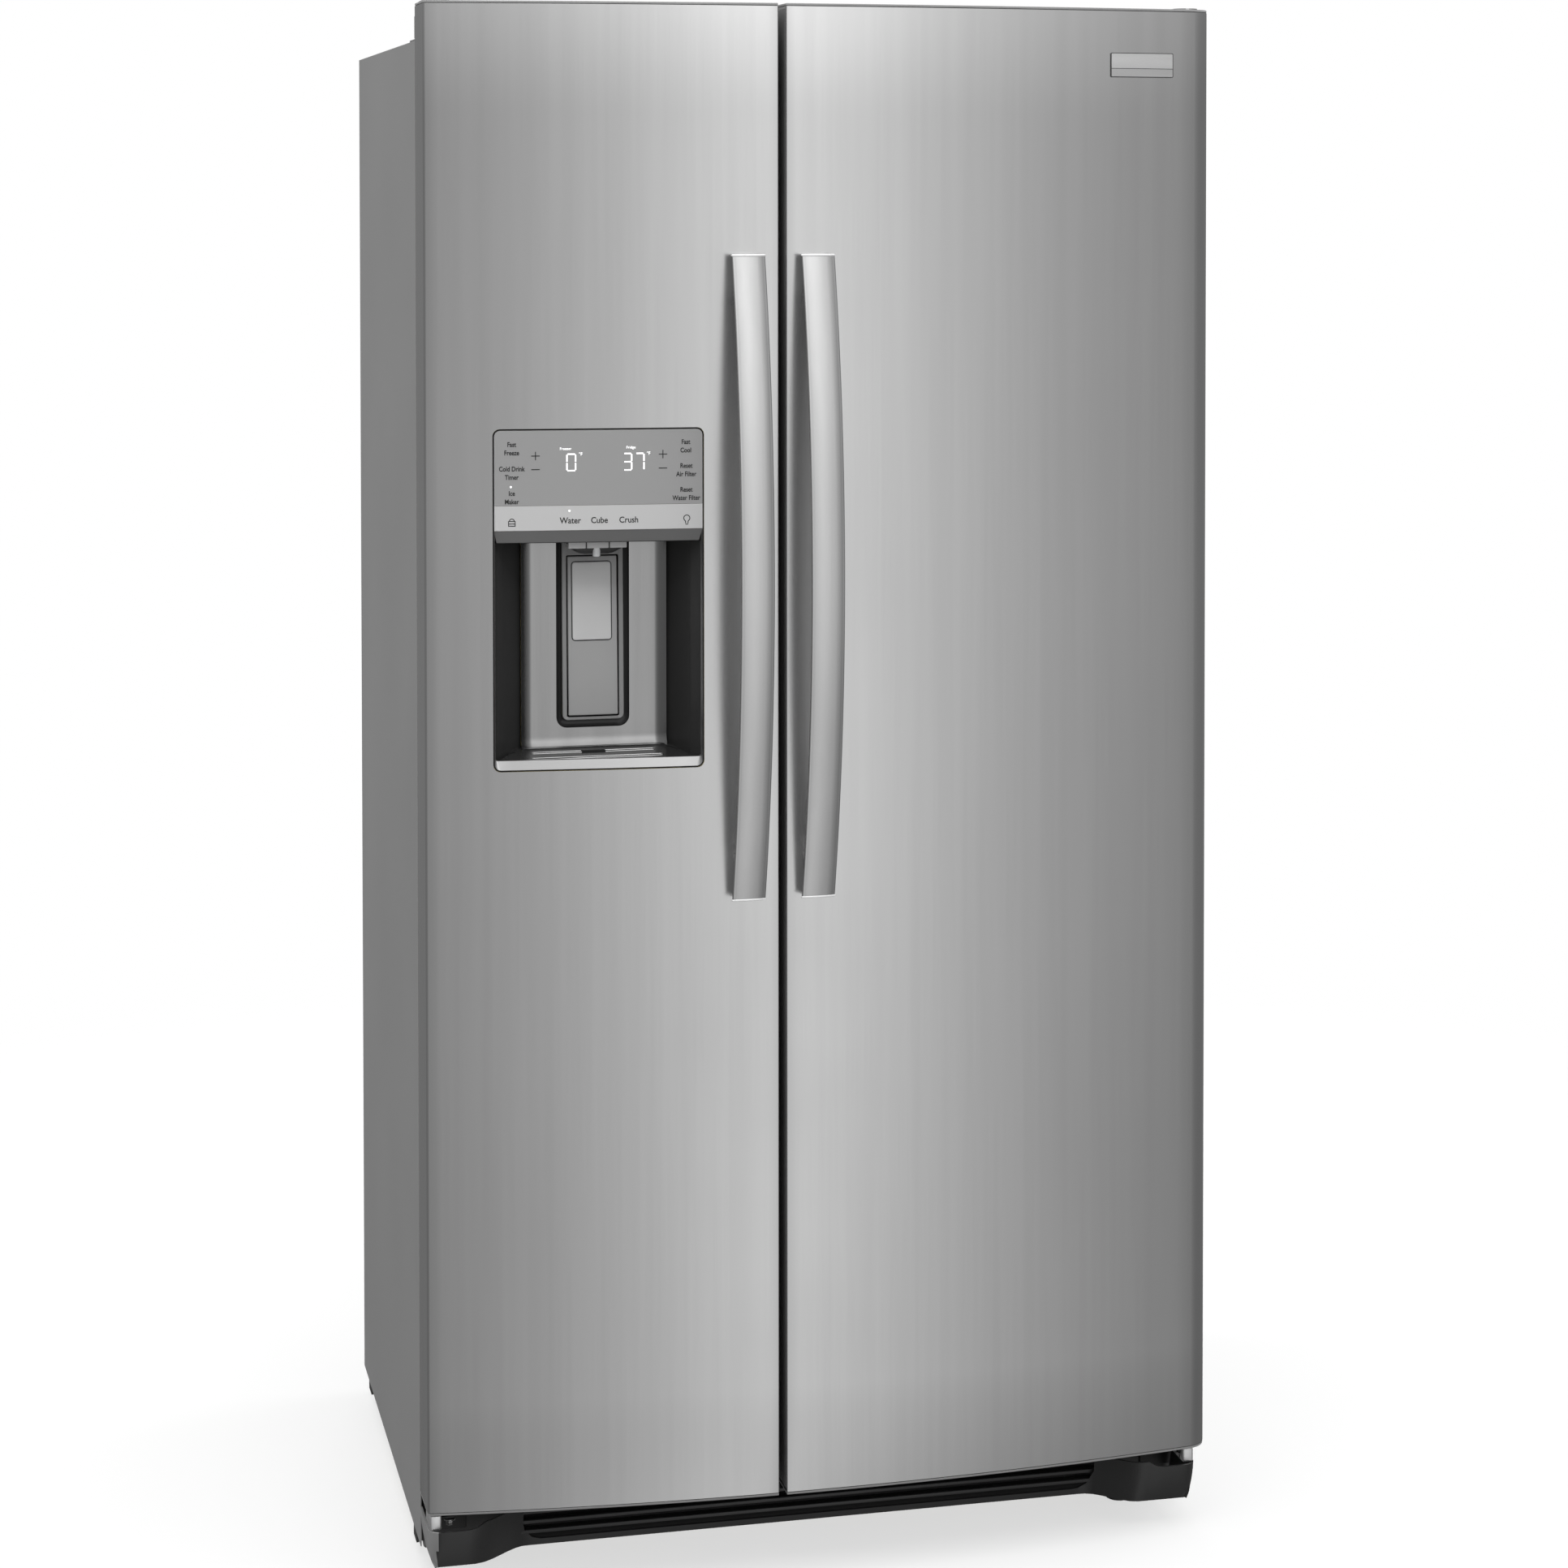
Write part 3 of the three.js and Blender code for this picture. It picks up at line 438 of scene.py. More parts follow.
# one side of a door: the fillet that touches the bow and the flat side
def doorSide(sideX, radius, sign):
    cx = sideX - sign * radius
    cy = bowCentre - sqrt((bowRadius - radius) ** 2 - cx ** 2)
    tangentX = cx * bowRadius / (bowRadius - radius)
    tilt = asin(tangentX / bowRadius)
    sweep = pi / 2 - sign * tilt
    return {"x": sideX, "cx": cx, "cy": cy, "radius": radius, "sign": sign,
            "tangent": tangentX, "tilt": tilt, "sweep": sweep}


def doorShape(node):
    low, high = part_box(node)
    left = low.x < -0.4
    rounds = (bow["leftRound"], bow["gapRound"]) if left else (bow["gapRound"], bow["rightRound"])
    return {"left": doorSide(low.x, rounds[0], -1), "right": doorSide(high.x, rounds[1], 1),
            "z0": low.z, "z1": high.z}


# u runs along the plan outline and equals x on the bow; inset moves in from the face
def doorPoint(shape, u, z, inset=0.0):
    for side in (shape["left"], shape["right"]):
        past = (u - side["tangent"]) * side["sign"]
        if past <= 0:
            continue
        turned = min(past / side["radius"], side["sweep"])
        angle = side["tilt"] + side["sign"] * turned
        nx, ny = sin(angle), -cos(angle)
        straight = max(past - side["radius"] * side["sweep"], 0)
        reach = side["radius"] - inset
        return Vector((side["cx"] + nx * reach, side["cy"] + ny * reach + straight, z))
    tilt = asin(u / bowRadius)
    return Vector((u - sin(tilt) * inset, bowY(u) + cos(tilt) * inset, z))


def doorColumns(shape, extra=()):
    left, right = shape["left"], shape["right"]
    columns = span(left["tangent"], right["tangent"], 28)
    for side in (left, right):
        arcLength = side["radius"] * side["sweep"]
        straight = bow["back"] - side["cy"]
        columns += [side["tangent"] + side["sign"] * s for s in span(0, arcLength, 8)]
        columns.append(side["tangent"] + side["sign"] * (arcLength + straight))
    return merged(columns, extra)


dispenser = {
    "x0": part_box("dispenser_housing")[0].x,
    "x1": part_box("dispenser_housing")[1].x,
    "z0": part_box("dispenser_housing")[0].z,
    "z1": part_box("dispenser_housing")[1].z,
    "corner": 8 * mm,
    "gap": 0.4 * mm,
    "barBottom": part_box("dispenser_panel")[0].z,
    "barTop": 1217 * mm,
}
dispenserMiddle = (dispenser["x0"] + dispenser["x1"]) / 2

skinThickness = 0.8 * mm
edgeRoll = 0.9 * mm


def addDoorSkin(name, node, body, hole=None):
    shape = doorShape(node)
    us, vs = holeLines(hole) if hole else ([], [])
    z0, z1 = shape["z0"], shape["z1"]
    rolls = [(0.0, 1.0), (0.3, 0.45), (0.62, 0.12), (1.0, 0.0)]      # height and inset as shares of the roll
    inset = {round(z0 + a * edgeRoll, 6): b * edgeRoll for a, b in rolls}
    inset.update({round(z1 - a * edgeRoll, 6): b * edgeRoll for a, b in rolls})
    rows = merged(span(z0 + edgeRoll, z1 - edgeRoll, 14), list(inset) + vs)

    def surface(u, v):
        return doorPoint(shape, u, v, inset.get(round(v, 6), 0.0))

    mesh = sheetWithHole(doorColumns(shape, us), rows, surface, hole)
    piece = addPiece(name, mesh, doorSteel, body, [node])
    return thicken(piece, skinThickness)


dispenserHole = {
    "u0": dispenser["x0"] - dispenser["gap"], "u1": dispenser["x1"] + dispenser["gap"],
    "v0": dispenser["z0"] - dispenser["gap"], "v1": dispenser["z1"] + dispenser["gap"],
    "low": dispenser["corner"], "high": dispenser["corner"],
}
addDoorSkin("freezerDoorSkin", "freezer_door_skin", "freezer_door", dispenserHole)
addDoorSkin("fridgeDoorSkin", "fridge_door_skin", "fridge_door")

gapTrim = {
    "start": 1.6 * mm,      # behind the rounded edge
    "thick": 0.35 * mm,
    "endClear": 4 * mm,
}


# a dull strip along the side of each door that faces the gap
def addGapTrim(name, node, body, sideX, into):
    low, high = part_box(node)
    front = bowY(sideX) + gapTrim["start"]
    x0, x1 = sorted((sideX - into * 0.1 * mm, sideX + into * gapTrim["thick"]))
    strip = roundedBlock((x0, front, low.z + gapTrim["endClear"]),
                         (x1, bow["back"], high.z - gapTrim["endClear"]), 0.15 * mm, 2)
    addPiece(name, strip, gapGrey, body)


gapGrey = mouldedSkin("gapGrey", grey(0.16), 0.55, 1100)
addGapTrim("freezerDoorGapTrim", "freezer_door_skin", "freezer_door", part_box("freezer_door_skin")[1].x, 1)
addGapTrim("fridgeDoorGapTrim", "fridge_door_skin", "fridge_door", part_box("fridge_door_skin")[0].x, -1)
print("door skins ready")

# handles

handle = {
    "edge": 1.3 * mm,
    "thick": 15 * mm,
    "foot": 40 * mm,
    "footBlend": 16 * mm,
    "backShare": 0.66,      # width of the back against the face
    "backRound": 2 * mm,
    "trim": 2.6 * mm,      # the plate on each end, near-white as a painted highlight along the cut ends
    "trimProud": 0.9 * mm,
    "seat": 0.4 * mm,
    "endStandoff": 20 * mm,
    # share of the half width, and how many degrees the face is turned there
    "turns": ((-1, -9), (-0.7, -4), (-0.1, 0), (0.5, 4), (0.75, 9), (1, 17)),
}


def smoothStep(t):
    t = min(max(t, 0), 1)
    return t * t * (3 - 2 * t)


def handleFace(halfWidth):
    turns = handle["turns"]
    points, depth = [], 0
    xs = span(-1, 1, 40)
    for i, share in enumerate(xs):
        for (s0, a0), (s1, a1) in zip(turns, turns[1:]):
            if s0 <= share <= s1:
                angle = radians(a0 + (a1 - a0) * (share - s0) / (s1 - s0))
        if i:
            depth += tan(angle) * (share - xs[i - 1]) * halfWidth
        points.append((share * halfWidth, depth))
    foremost = min(y for x, y in points)
    return [(x, y - foremost) for x, y in points]


# plan of the bar: its face, its rounded edges and the narrower back
def handleRing(centreX, halfWidth, front, back, z):
    e = handle["edge"]
    face = [(x, y) for x, y in handleFace(halfWidth) if abs(x) < halfWidth - e]
    left, right = face[0][1] + e, face[-1][1] + e
    outline = arcPoints(-halfWidth + e, left, e, pi, 1.45 * pi, 4) + face
    outline += arcPoints(halfWidth - e, right, e, 1.6 * pi, 2 * pi, 4)
    points = [Vector((centreX + x, front + y, z)) for x, y in outline]
    narrow, r = halfWidth * handle["backShare"], handle["backRound"]
    for x, drop in ((narrow, r), (narrow - r * 0.3, r * 0.3), (narrow - r, 0), (0, 0),
                    (-narrow + r, 0), (-narrow + r * 0.3, r * 0.3), (-narrow, r)):
        points.append(Vector((centreX + x, back(centreX + x) - drop, z)))
    return points


def addHandle(name, node, body):
    low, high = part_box(node)
    middle, half = (low.z + high.z) / 2, (high.z - low.z) / 2
    sag = (bow["apex"] - low.y) - handle["endStandoff"]
    radius = (half ** 2 + sag ** 2) / (2 * sag)
    centreX, halfWidth = (low.x + high.x) / 2, (high.x - low.x) / 2

    def ringAt(z, shrink=0.0):
        fromEnd = min(z - low.z, high.z - z)
        front = low.y + radius - sqrt(radius ** 2 - (z - middle) ** 2) + shrink
        inner = front + handle["thick"]
        footPart = 1 - smoothStep((fromEnd - handle["foot"]) / handle["footBlend"])

        def back(x):
            return max(inner + (bowY(x) - handle["seat"] - inner) * footPart, front + 9 * mm)

        return handleRing(centreX, halfWidth - shrink, front, back, z)

    trim, proud = handle["trim"], handle["trimProud"] / mm
    stations = [low.z + trim] + span(low.z + 8 * mm, high.z - 8 * mm, 72) + [high.z - trim]
    piece = addPiece(name, loft([ringAt(z) for z in stations]), handleSteel, body, [node], 50)
    # the back of the bar, facing the door, gets a near-white steel: painted light that lightens its dark
    # reflection in the door
    piece.data.materials.append(handleBackPaintedLight)
    for face in piece.data.polygons:
        if face.normal.y > 0.6:
            face.material_index = 1
    ends = []
    for end, inward in ((low.z, 1), (high.z, -1)):
        rings = [ringAt(end + inward * trim * t, shrink * mm)
                 for t, shrink in ((0, 0.4), (0.25, -proud), (0.6, -proud), (0.95, -0.1))]
        ends.append(loft(rings))
    addPiece(name + "Trim", ends, handleEndHighlight, body, degrees=50)


# near-white end plates: a painted highlight where the cut ends of the bar catch the light
handleEndHighlight = mouldedSkin("handleEndHighlight", grey(0.95), 0.25, 900, 0.000004, metallic=0.3, vary=0.01)
# near-white steel for the back of the handle: painted light in place of the bounce light it does not get
handleBackPaintedLight = brushedMetal("handleBackPaintedLight", 0.97, 0.4)
addHandle("freezerDoorHandle", "freezer_door_handle", "freezer_door")
addHandle("fridgeDoorHandle", "fridge_door_handle", "fridge_door")
print("handles ready")

# flat artwork drawn in x and z, then laid on the bow


def stroke(points, width, closed=False):
    bm = bmesh.new()
    count = len(points)
    last = count if closed else count - 1
    for i in range(last):
        (xa, za), (xb, zb) = points[i], points[(i + 1) % count]
        length = hypot(xb - xa, zb - za)
        dx, dz = (xb - xa) / length, (zb - za) / length
        nx, nz = -dz * width / 2, dx * width / 2
        grow = width * 0.3
        xa, za, xb, zb = xa - dx * grow, za - dz * grow, xb + dx * grow, zb + dz * grow
        corners = ((xa - nx, za - nz), (xb - nx, zb - nz), (xb + nx, zb + nz), (xa + nx, za + nz))
        bm.faces.new([bm.verts.new((x, 0, z)) for x, z in corners])
    return meshOf(bm)


def disc(x, z, radius, steps=14):
    bm = bmesh.new()
    bm.faces.new([bm.verts.new((a, 0, b)) for a, b in arcPoints(x, z, radius, 0, 2 * pi, steps)[:-1]])
    return meshOf(bm)


# centred words; all sizes are in millimetres, and width squeezes the letters
def words(text, x, z, size, width=1.0, bold=0.0):
    curve = bpy.data.curves.new("words", "FONT")
    curve.body = text
    curve.size = size * mm
    curve.offset = bold * mm
    curve.align_x = "CENTER"
    curve.align_y = "CENTER"
    curve.space_line = 1.25
    curve.resolution_u = 4
    helper = bpy.data.objects.new("words", curve)
    scene.collection.objects.link(helper)
    depsgraph = bpy.context.evaluated_depsgraph_get()
    mesh = bpy.data.meshes.new_from_object(helper.evaluated_get(depsgraph))
    bpy.data.objects.remove(helper)
    turn = Matrix.Translation((x * mm, 0, z * mm)) @ Matrix.Rotation(pi / 2, 4, "X")
    mesh.transform(turn @ Matrix.Diagonal((width, 1, 1, 1)))
    return mesh


def onBow(mesh, lift):
    for vert in mesh.vertices:
        vert.co.y = bowY(vert.co.x) - lift
    return mesh


# a plate that follows the bow; low and high are its corner radii
def bowedPlate(x0, x1, z0, z1, low, high, depth, rowCount=2):
    def cornerDrop(x, radius):
        near = min(x - x0, x1 - x)
        if near >= radius:
            return 0
        return radius - sqrt(max(radius ** 2 - (radius - near) ** 2, 0))

    reach = max(low, high, 1e-6)
    ends = [reach * (1 - cos(a)) for a in span(0, pi / 2, 6)]
    columns = merged([x0 + e for e in ends] + [x1 - e for e in ends], span(x0, x1, 20))
    bm = bmesh.new()
    grid = []
    for x in columns:
        bottom, top = z0 + cornerDrop(x, low), z1 - cornerDrop(x, high)
        grid.append([bm.verts.new((x, bowY(x) + depth, z)) for z in span(bottom, top, rowCount)])
    for left, right in zip(grid, grid[1:]):
        for i in range(rowCount):
            corners = (left[i], right[i], right[i + 1], left[i + 1])
            if (corners[0].co - corners[3].co).length < 1e-7:
                corners = corners[:3]
            bm.faces.new(corners)
    return meshOf(bm)


# dispenser

# sizes and places of the words and signs on the panel, in millimetres
legend = {
    "small": 7.4, "large": 9.4, "tiny": 4.2, "degree": 5,
    "bold": 0.16, "line": 0.95, "digitLine": 1.45, "lift": 0.06,
    "features": (
        ("Fast\nFreeze", -361, 1280), ("Cold Drink\nTimer", -361, 1253), ("Ice\nMaker", -361, 1226),
        ("Fast\nCool", -169, 1281), ("Reset\nAir Filter", -168.5, 1254.5),
        ("Reset\nWater Filter", -168.5, 1228),
    ),
    "choices": (("Water", -297, 1200), ("Cube", -265, 1200), ("Crush", -232.5, 1200)),
    "titles": (("Freezer", -302, 1279.6), ("Fridge", -230, 1280.4)),
    "degrees": (("\u00b0F", -285.5, 1273.5), ("\u00b0F", -210.5, 1273.5)),
    "plus": ((-335, 1272), (-194.5, 1272.5)), "minus": 1257, "arm": 4.4,
    "digits": (("0", -300.6, -291.1), ("3", -238, -229.2), ("7", -224.6, -215.6)),
    "digitHeights": (1255.4, 1273.7),
    "lamps": ((-362, 1238), (-298, 1211)), "lampRadius": 1.1,
    "lock": (-361, 1199), "bulb": (-168, 1199),
}


def addToDispenser(name, parts, material, stands=(), degrees=35):
    return addPiece(name, parts, material, "freezer_door", stands, degrees)


def sevenSegments(digit, x0, x1, z0, z1, width):
    middle = (z0 + z1) / 2
    places = {
        "a": ((x0, z1), (x1, z1)), "b": ((x1, middle), (x1, z1)), "c": ((x1, z0), (x1, middle)),
        "d": ((x0, z0), (x1, z0)), "e": ((x0, z0), (x0, middle)), "f": ((x0, middle), (x0, z1)),
        "g": ((x0, middle), (x1, middle)),
    }
    strokes = []
    for key in {"0": "abcdef", "3": "abcdg", "7": "abc"}[digit]:
        (xa, za), (xb, zb) = places[key]
        trim = width * 0.75
        length = hypot(xb - xa, zb - za)
        dx, dz = (xb - xa) / length * trim, (zb - za) / length * trim
        strokes.append(stroke([(xa + dx, za + dz), (xb - dx, zb - dz)], width))
    return strokes


def addLegends():
    bold = legend["bold"]
    dark = [words(*item, legend["small"], 0.82, bold) for item in legend["features"]]
    dark += [words(*item, legend["large"], 0.92, bold) for item in legend["choices"]]

    def ink(points, closed=False):
        dark.append(stroke([(x * mm, z * mm) for x, z in points], legend["line"] * mm, closed))

    arm, minus = legend["arm"], legend["minus"]
    for x, z in legend["plus"]:
        ink(((x - arm, z), (x + arm, z)))
        ink(((x, z - arm), (x, z + arm)))
        ink(((x - arm, minus), (x + arm, minus)))
    x, z = legend["lock"]
    ink([(x + a, z + b) for a, b in ((-3.6, -4.2), (3.6, -4.2), (3.6, 1), (-3.6, 1))], True)
    ink(((x - 3.6, z - 1.8), (x + 3.6, z - 1.8)))
    ink(arcPoints(x, z + 1, 2.7, 0, pi, 10))
    x, z = legend["bulb"]
    glass = arcPoints(x, z + 2, 3.4, -pi / 3, pi + pi / 3, 16)
    ink([(x + 1.2, z - 3.6)] + glass + [(x - 1.2, z - 3.6)])
    ink(((x - 1.2, z - 4.8), (x + 1.2, z - 4.8)))
    addToDispenser("panelLegends", onBow(joinMeshes(dark), legend["lift"] * mm), inkDark)

    low, high = legend["digitHeights"]
    lit = []
    for digit, x0, x1 in legend["digits"]:
        lit += sevenSegments(digit, x0 * mm, x1 * mm, low * mm, high * mm, legend["digitLine"] * mm)
    lit += [words(*item, legend["tiny"]) for item in legend["titles"]]
    lit += [words(*item, legend["degree"]) for item in legend["degrees"]]
    lit += [disc(x * mm, z * mm, legend["lampRadius"] * mm) for x, z in legend["lamps"]]
    addToDispenser("panelDigits", onBow(joinMeshes(lit), legend["lift"] * mm), digitGlow)


niche = {
    "back": -262 * mm,
    "backLeft": -344 * mm,
    "backRight": -179 * mm,
    "fillet": 13 * mm,
    "ceiling": 1175.2 * mm,
    "backTop": 1176.2 * mm,
    "floorBack": 941 * mm,
    "floorFront": 931.5 * mm,
    "wallSet": 3 * mm,      # from the sides of the housing
    "grooveOut": (-303.5 * mm, -220.5 * mm, 961 * mm),      # left, right, bottom
    "grooveIn": (-297.5 * mm, -228 * mm, 970.5 * mm),
    "grooveDepth": 5 * mm,
    "bezelStandoff": (1.5 * mm, 7 * mm),      # at its top and bottom
}

surround = {
    # how far in from the outline and how deep behind the face each line of the seam runs
    "seam": ((0, 14), (0, 0.8), (0.3, 0.4), (1.0, 0.5), (1.2, 1.2), (1.2, 9)),
    # from the sides, from the bottom, corner radius and depth of each line of the bright lip
    "lip": (
        (1.3, 1.3, 6.8, 0.3), (1.6, 1.6, 6.5, 0.0), (2.6, 11.5, 2.0, 3.5), (3.0, 12.2, 1.6, 5.0),
        (3.2, 12.0, 1.6, 9.0),
    ),
    # from the sides, depth and height of each line of the hood
    "hood": (
        (1.4, 0.2, 1189.3), (1.5, 0.8, 1188.4), (4.2, 4.4, 1177), (4.4, 5.2, 1175.8), (4.4, 6.4, 1175.2),
    ),
}


# the bright front lip and the thin side rails, from the hood down and round
def railPath(side, bottom, radius, depth):
    x0, x1 = dispenser["x0"] + side, dispenser["x1"] - side
    z0, top = dispenser["z0"] + bottom, dispenser["barBottom"]
    flat = [(x0, top)] + arcPoints(x0 + radius, z0 + radius, radius, pi, 1.5 * pi, 5)
    flat += [(x, z0) for x in span(x0 + radius, x1 - radius, 14)[1:-1]]
    flat += arcPoints(x1 - radius, z0 + radius, radius, 1.5 * pi, 2 * pi, 5) + [(x1, top)]
    return [Vector((x, bowY(x) + depth, z)) for x, z in flat]


def addSurround():
    x0, x1, z0, z1 = (dispenser[key] for key in ("x0", "x1", "z0", "z1"))
    outline = roundedRect(x0, x1, z0, z1, dispenser["corner"], 6)
    rings = []
    for inset, depth in surround["seam"]:
        ring = []
        for x, z in outline:
            nearX = x - (1 if x > dispenserMiddle else -1) * inset * mm
            nearZ = z - (1 if z > (z0 + z1) / 2 else -1) * inset * mm
            ring.append(Vector((nearX, bowY(nearX) + depth * mm, nearZ)))
        rings.append(ring)
    addToDispenser("dispenserSeam", loft(rings, caps=False), seamBlackAndPaintedShade, stands=["dispenser_housing"])
    lip = openSheet([railPath(*[size * mm for size in line]) for line in surround["lip"]])
    addToDispenser("dispenserLip", lip, lipSteel, degrees=25)


def addDisplay():
    edge, seam = 1.4 * mm, 0.15 * mm
    x0, x1 = dispenser["x0"] + edge, dispenser["x1"] - edge
    split, top = dispenser["barTop"], dispenser["z1"] - edge
    display = bowedPlate(x0, x1, split + seam, top, 0, 6.6 * mm, 0.1 * mm)
    bar = bowedPlate(x0, x1, dispenser["barBottom"], split - seam, 0, 0, 0.0)
    for name, plate, finish in (("displayPanel", display, panelFace), ("touchBar", bar, barFace)):
        piece = addToDispenser(name, plate, finish, ["dispenser_panel"])
        thicken(piece, 2.4 * mm)


def addHood():
    rows = []
    for side, depth, z in surround["hood"]:
        xs = span(dispenser["x0"] + side * mm, dispenser["x1"] - side * mm, 16)
        rows.append([Vector((x, bowY(x) + depth * mm, z * mm)) for x in xs])
    addToDispenser("dispenserHood", openSheet(rows), hoodGrey, degrees=25)
    xs = span(dispenser["x0"] + niche["wallSet"], dispenser["x1"] - niche["wallSet"], 16)
    ceiling = [[Vector((x, bowY(x) + 5 * mm, niche["ceiling"])) for x in xs],
               [Vector((x, niche["back"] + 4 * mm, niche["ceiling"])) for x in xs]]
    # the ceiling is near-black as painted shade under the hood
    addToDispenser("nicheCeiling", openSheet(ceiling), nichePaintedShade)


def addNicheWalls():
    z0, z1 = niche["floorFront"] - 4 * mm, niche["backTop"]
    for name, outer, inner, sign in (
        ("nicheWallLeft", dispenser["x0"] + niche["wallSet"], niche["backLeft"], 1),
        ("nicheWallRight", dispenser["x1"] - niche["wallSet"], niche["backRight"], -1),
    ):
        front = bowY(outer) + 5 * mm
        bend, bendY = outer + sign * 7 * mm, front + 13 * mm
        plan = [(outer, front), (outer + sign * 1.5 * mm, front + 6 * mm), (bend, bendY)]
        for t in span(0, 1, 6)[1:]:
            plan.append((bend + (inner - bend) * t ** 1.25, bendY + (niche["back"] - bendY) * t))
        rows = [[Vector((x, y, z)) for x, y in plan] for z in span(z0, z1, 6)]
        # the side walls are near-black as painted shade
        addToDispenser(name, openSheet(rows), nichePaintedShade, degrees=60)


def addNicheBack():
    x0, x1, r = niche["backLeft"], niche["backRight"], niche["fillet"]
    z0, z1 = niche["floorBack"] - 2 * mm, niche["backTop"]

    def bend(distance):
        return (1 - min(distance / r, 1)) ** 2 * r * 0.45

    def surface(x, z):
        return Vector((x, niche["back"] - bend(min(x - x0, x1 - x)) - bend(z - z0) * 0.9, z))

    left, right, bottom = niche["grooveOut"]
    hole = {"u0": left, "u1": right, "v0": bottom, "v1": z1 + 1 * mm, "low": 12 * mm, "high": 0}
    us, vs = holeLines(hole)
    fine = [r * t for t in span(0, 1, 8)]
    columns = merged([x0 + a for a in fine] + [x1 - a for a in fine] + span(x0, x1, 8), us)
    rows = merged([z0 + a for a in fine] + span(z0 + r, z1, 6), [v for v in vs if v < z1])
    wall = sheetWithHole(columns, rows, surface, hole)
    addToDispenser("nicheBack", wall, nicheGrey, degrees=60)


# the groove round the paddle, open at the top
def addPaddleGroove():
    top = niche["backTop"]

    def path(sides, radius, depth):
        a, b, low = sides
        flat = [(a, top)] + [(a, z) for z in span(top, low + radius, 8)[1:-1]]
        flat += arcPoints(a + radius, low + radius, radius, pi, 1.5 * pi, 6)
        flat += arcPoints(b - radius, low + radius, radius, 1.5 * pi, 2 * pi, 6)
        flat += [(b, z) for z in span(low + radius, top, 8)[1:]]
        return [Vector((x, niche["back"] + depth, z)) for x, z in flat]

    # share of the way in, corner radius and share of the depth
    profile = ((0, 12, 0.0), (0.08, 11.5, 0.6), (0.3, 10, 0.85), (0.6, 8, 1.0), (0.9, 6.5, 0.8), (1, 6, 0))
    rings = []
    for t, radius, depth in profile:
        sides = [a + (b - a) * t for a, b in zip(niche["grooveOut"], niche["grooveIn"])]
        rings.append(path(sides, radius * mm, niche["grooveDepth"] * depth))
    # the groove is near-black as painted shade
    addToDispenser("paddleGroove", openSheet(rings), nichePaintedShade)


# the raised frame that leans with the paddle, and the well behind it, near-black as painted shade in the gap
def addPaddleBezel():
    top, (near, far) = niche["backTop"], niche["bezelStandoff"]
    a, b, low = niche["grooveIn"]
    deepest = niche["back"] + paddle["wellDepth"]

    def leaning(outline, standoff):
        ring = []
        for x, z in outline:
            share = (top - z) / (top - low)
            y = niche["back"] - near - (far - near) * share - standoff * mm
            ring.append(Vector((x, min(y, deepest), z)))
        return ring

    rings = []
    for inset, radius, standoff in ((0, 6, -3), (0, 6, 0.6), (0.6, 5.4, 1.2)):
        i = inset * mm
        rings.append(leaning(roundedRect(a + i, b - i, low + i, top, radius * mm, 6), standoff))
    gap = paddle["gap"]
    x0, x1, z0, z1 = paddle["x0"] - gap, paddle["x1"] + gap, paddle["z0"] - gap, paddle["z1"] + gap
    for inset, radius, standoff in ((-0.5, 2.2, 1.2), (-0.1, 1.9, 0.9), (0, 1.8, 0.3)):
        i = inset * mm
        rings.append(leaning(roundedRect(x0 + i, x1 - i, z0 + i, z1 - i, radius * mm, 6), standoff))
    addToDispenser("paddleBezel", loft(rings, caps=False), bezelGrey)
    outline = roundedRect(x0, x1, z0, z1, 1.8 * mm, 6)
    rings = [leaning(outline, standoff) for standoff in (0.25, -1, -20)]
    addToDispenser("paddleWell", loft(rings, startCap=False), seamBlackAndPaintedShade)


paddle = {
    "x0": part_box("dispenser_paddle")[0].x,
    "x1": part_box("dispenser_paddle")[1].x,
    "z0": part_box("dispenser_paddle")[0].z,
    "z1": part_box("dispenser_paddle")[1].z,
    "yTop": -262 * mm,
    "yLow": -270 * mm,
    "thick": 4 * mm,
    "gap": 1.5 * mm,
    "wellDepth": 4.6 * mm,
    "pad": (-286 * mm, -242 * mm, 1060 * mm, 1147.5 * mm),
    "padCorner": 3 * mm,
}


def addPaddle():
    lean = atan2(paddle["yTop"] - paddle["yLow"], paddle["z1"] - paddle["z0"])
    pivot = Vector((0, paddle["yTop"], paddle["z1"]))
    turn = Matrix.Translation(pivot) @ Matrix.Rotation(-lean, 4, "X") @ Matrix.Translation(-pivot)
    half = paddle["thick"] / 2
    front, rear = paddle["yTop"] - half, paddle["yTop"] + half
    body = roundedBlock((paddle["x0"], front, paddle["z0"]), (paddle["x1"], rear, paddle["z1"]), 1.2 * mm)

    def seamCorner(inset):
        return paddle["padCorner"] + 0.5 * mm - inset

    def padRings(steps, corner):
        return facingRings(*paddle["pad"], [(i, front + depth * mm) for i, depth in steps], corner)

    seamRings = padRings(((-1, 0.1), (-1, -0.25), (0, -0.25), (0, 0.2)), seamCorner)
    pad = padRings(((0.1, 0.2), (0.1, -0.5), (0.5, -0.9), (1.5, -1.05)), paddle["padCorner"])
    for name, mesh, finish, slot, stands in (
        ("paddleBody", body, paddleGrey, "grey_plastic", ["dispenser_paddle"]),
        ("paddlePadSeam", loft(seamRings), seamBlackAndPaintedShade, "dark_plastic", []),
        ("paddlePad", loft(pad), padGreyAndPaintedLight, "grey_plastic", []),
    ):
        addPiece(name, moved(mesh, turn), finish, "dispenser_paddle", stands)


chute = {
    "y0": -308 * mm, "y1": -284 * mm,
    "z0": 1167.2 * mm, "z1": 1176 * mm,
    "blocks": ((-296.5, -277.2), (-275.8, -251.4), (-250, -231)),      # left and right of each
    "funnel": ((1174, 33), (1167, 30), (1161.5, 20), (1160, 14)),      # height and half width
    "nozzleX": -264.5 * mm, "nozzleSet": 5 * mm, "nozzleRadius": 4.3 * mm, "nozzleLow": 1157.6 * mm,
}


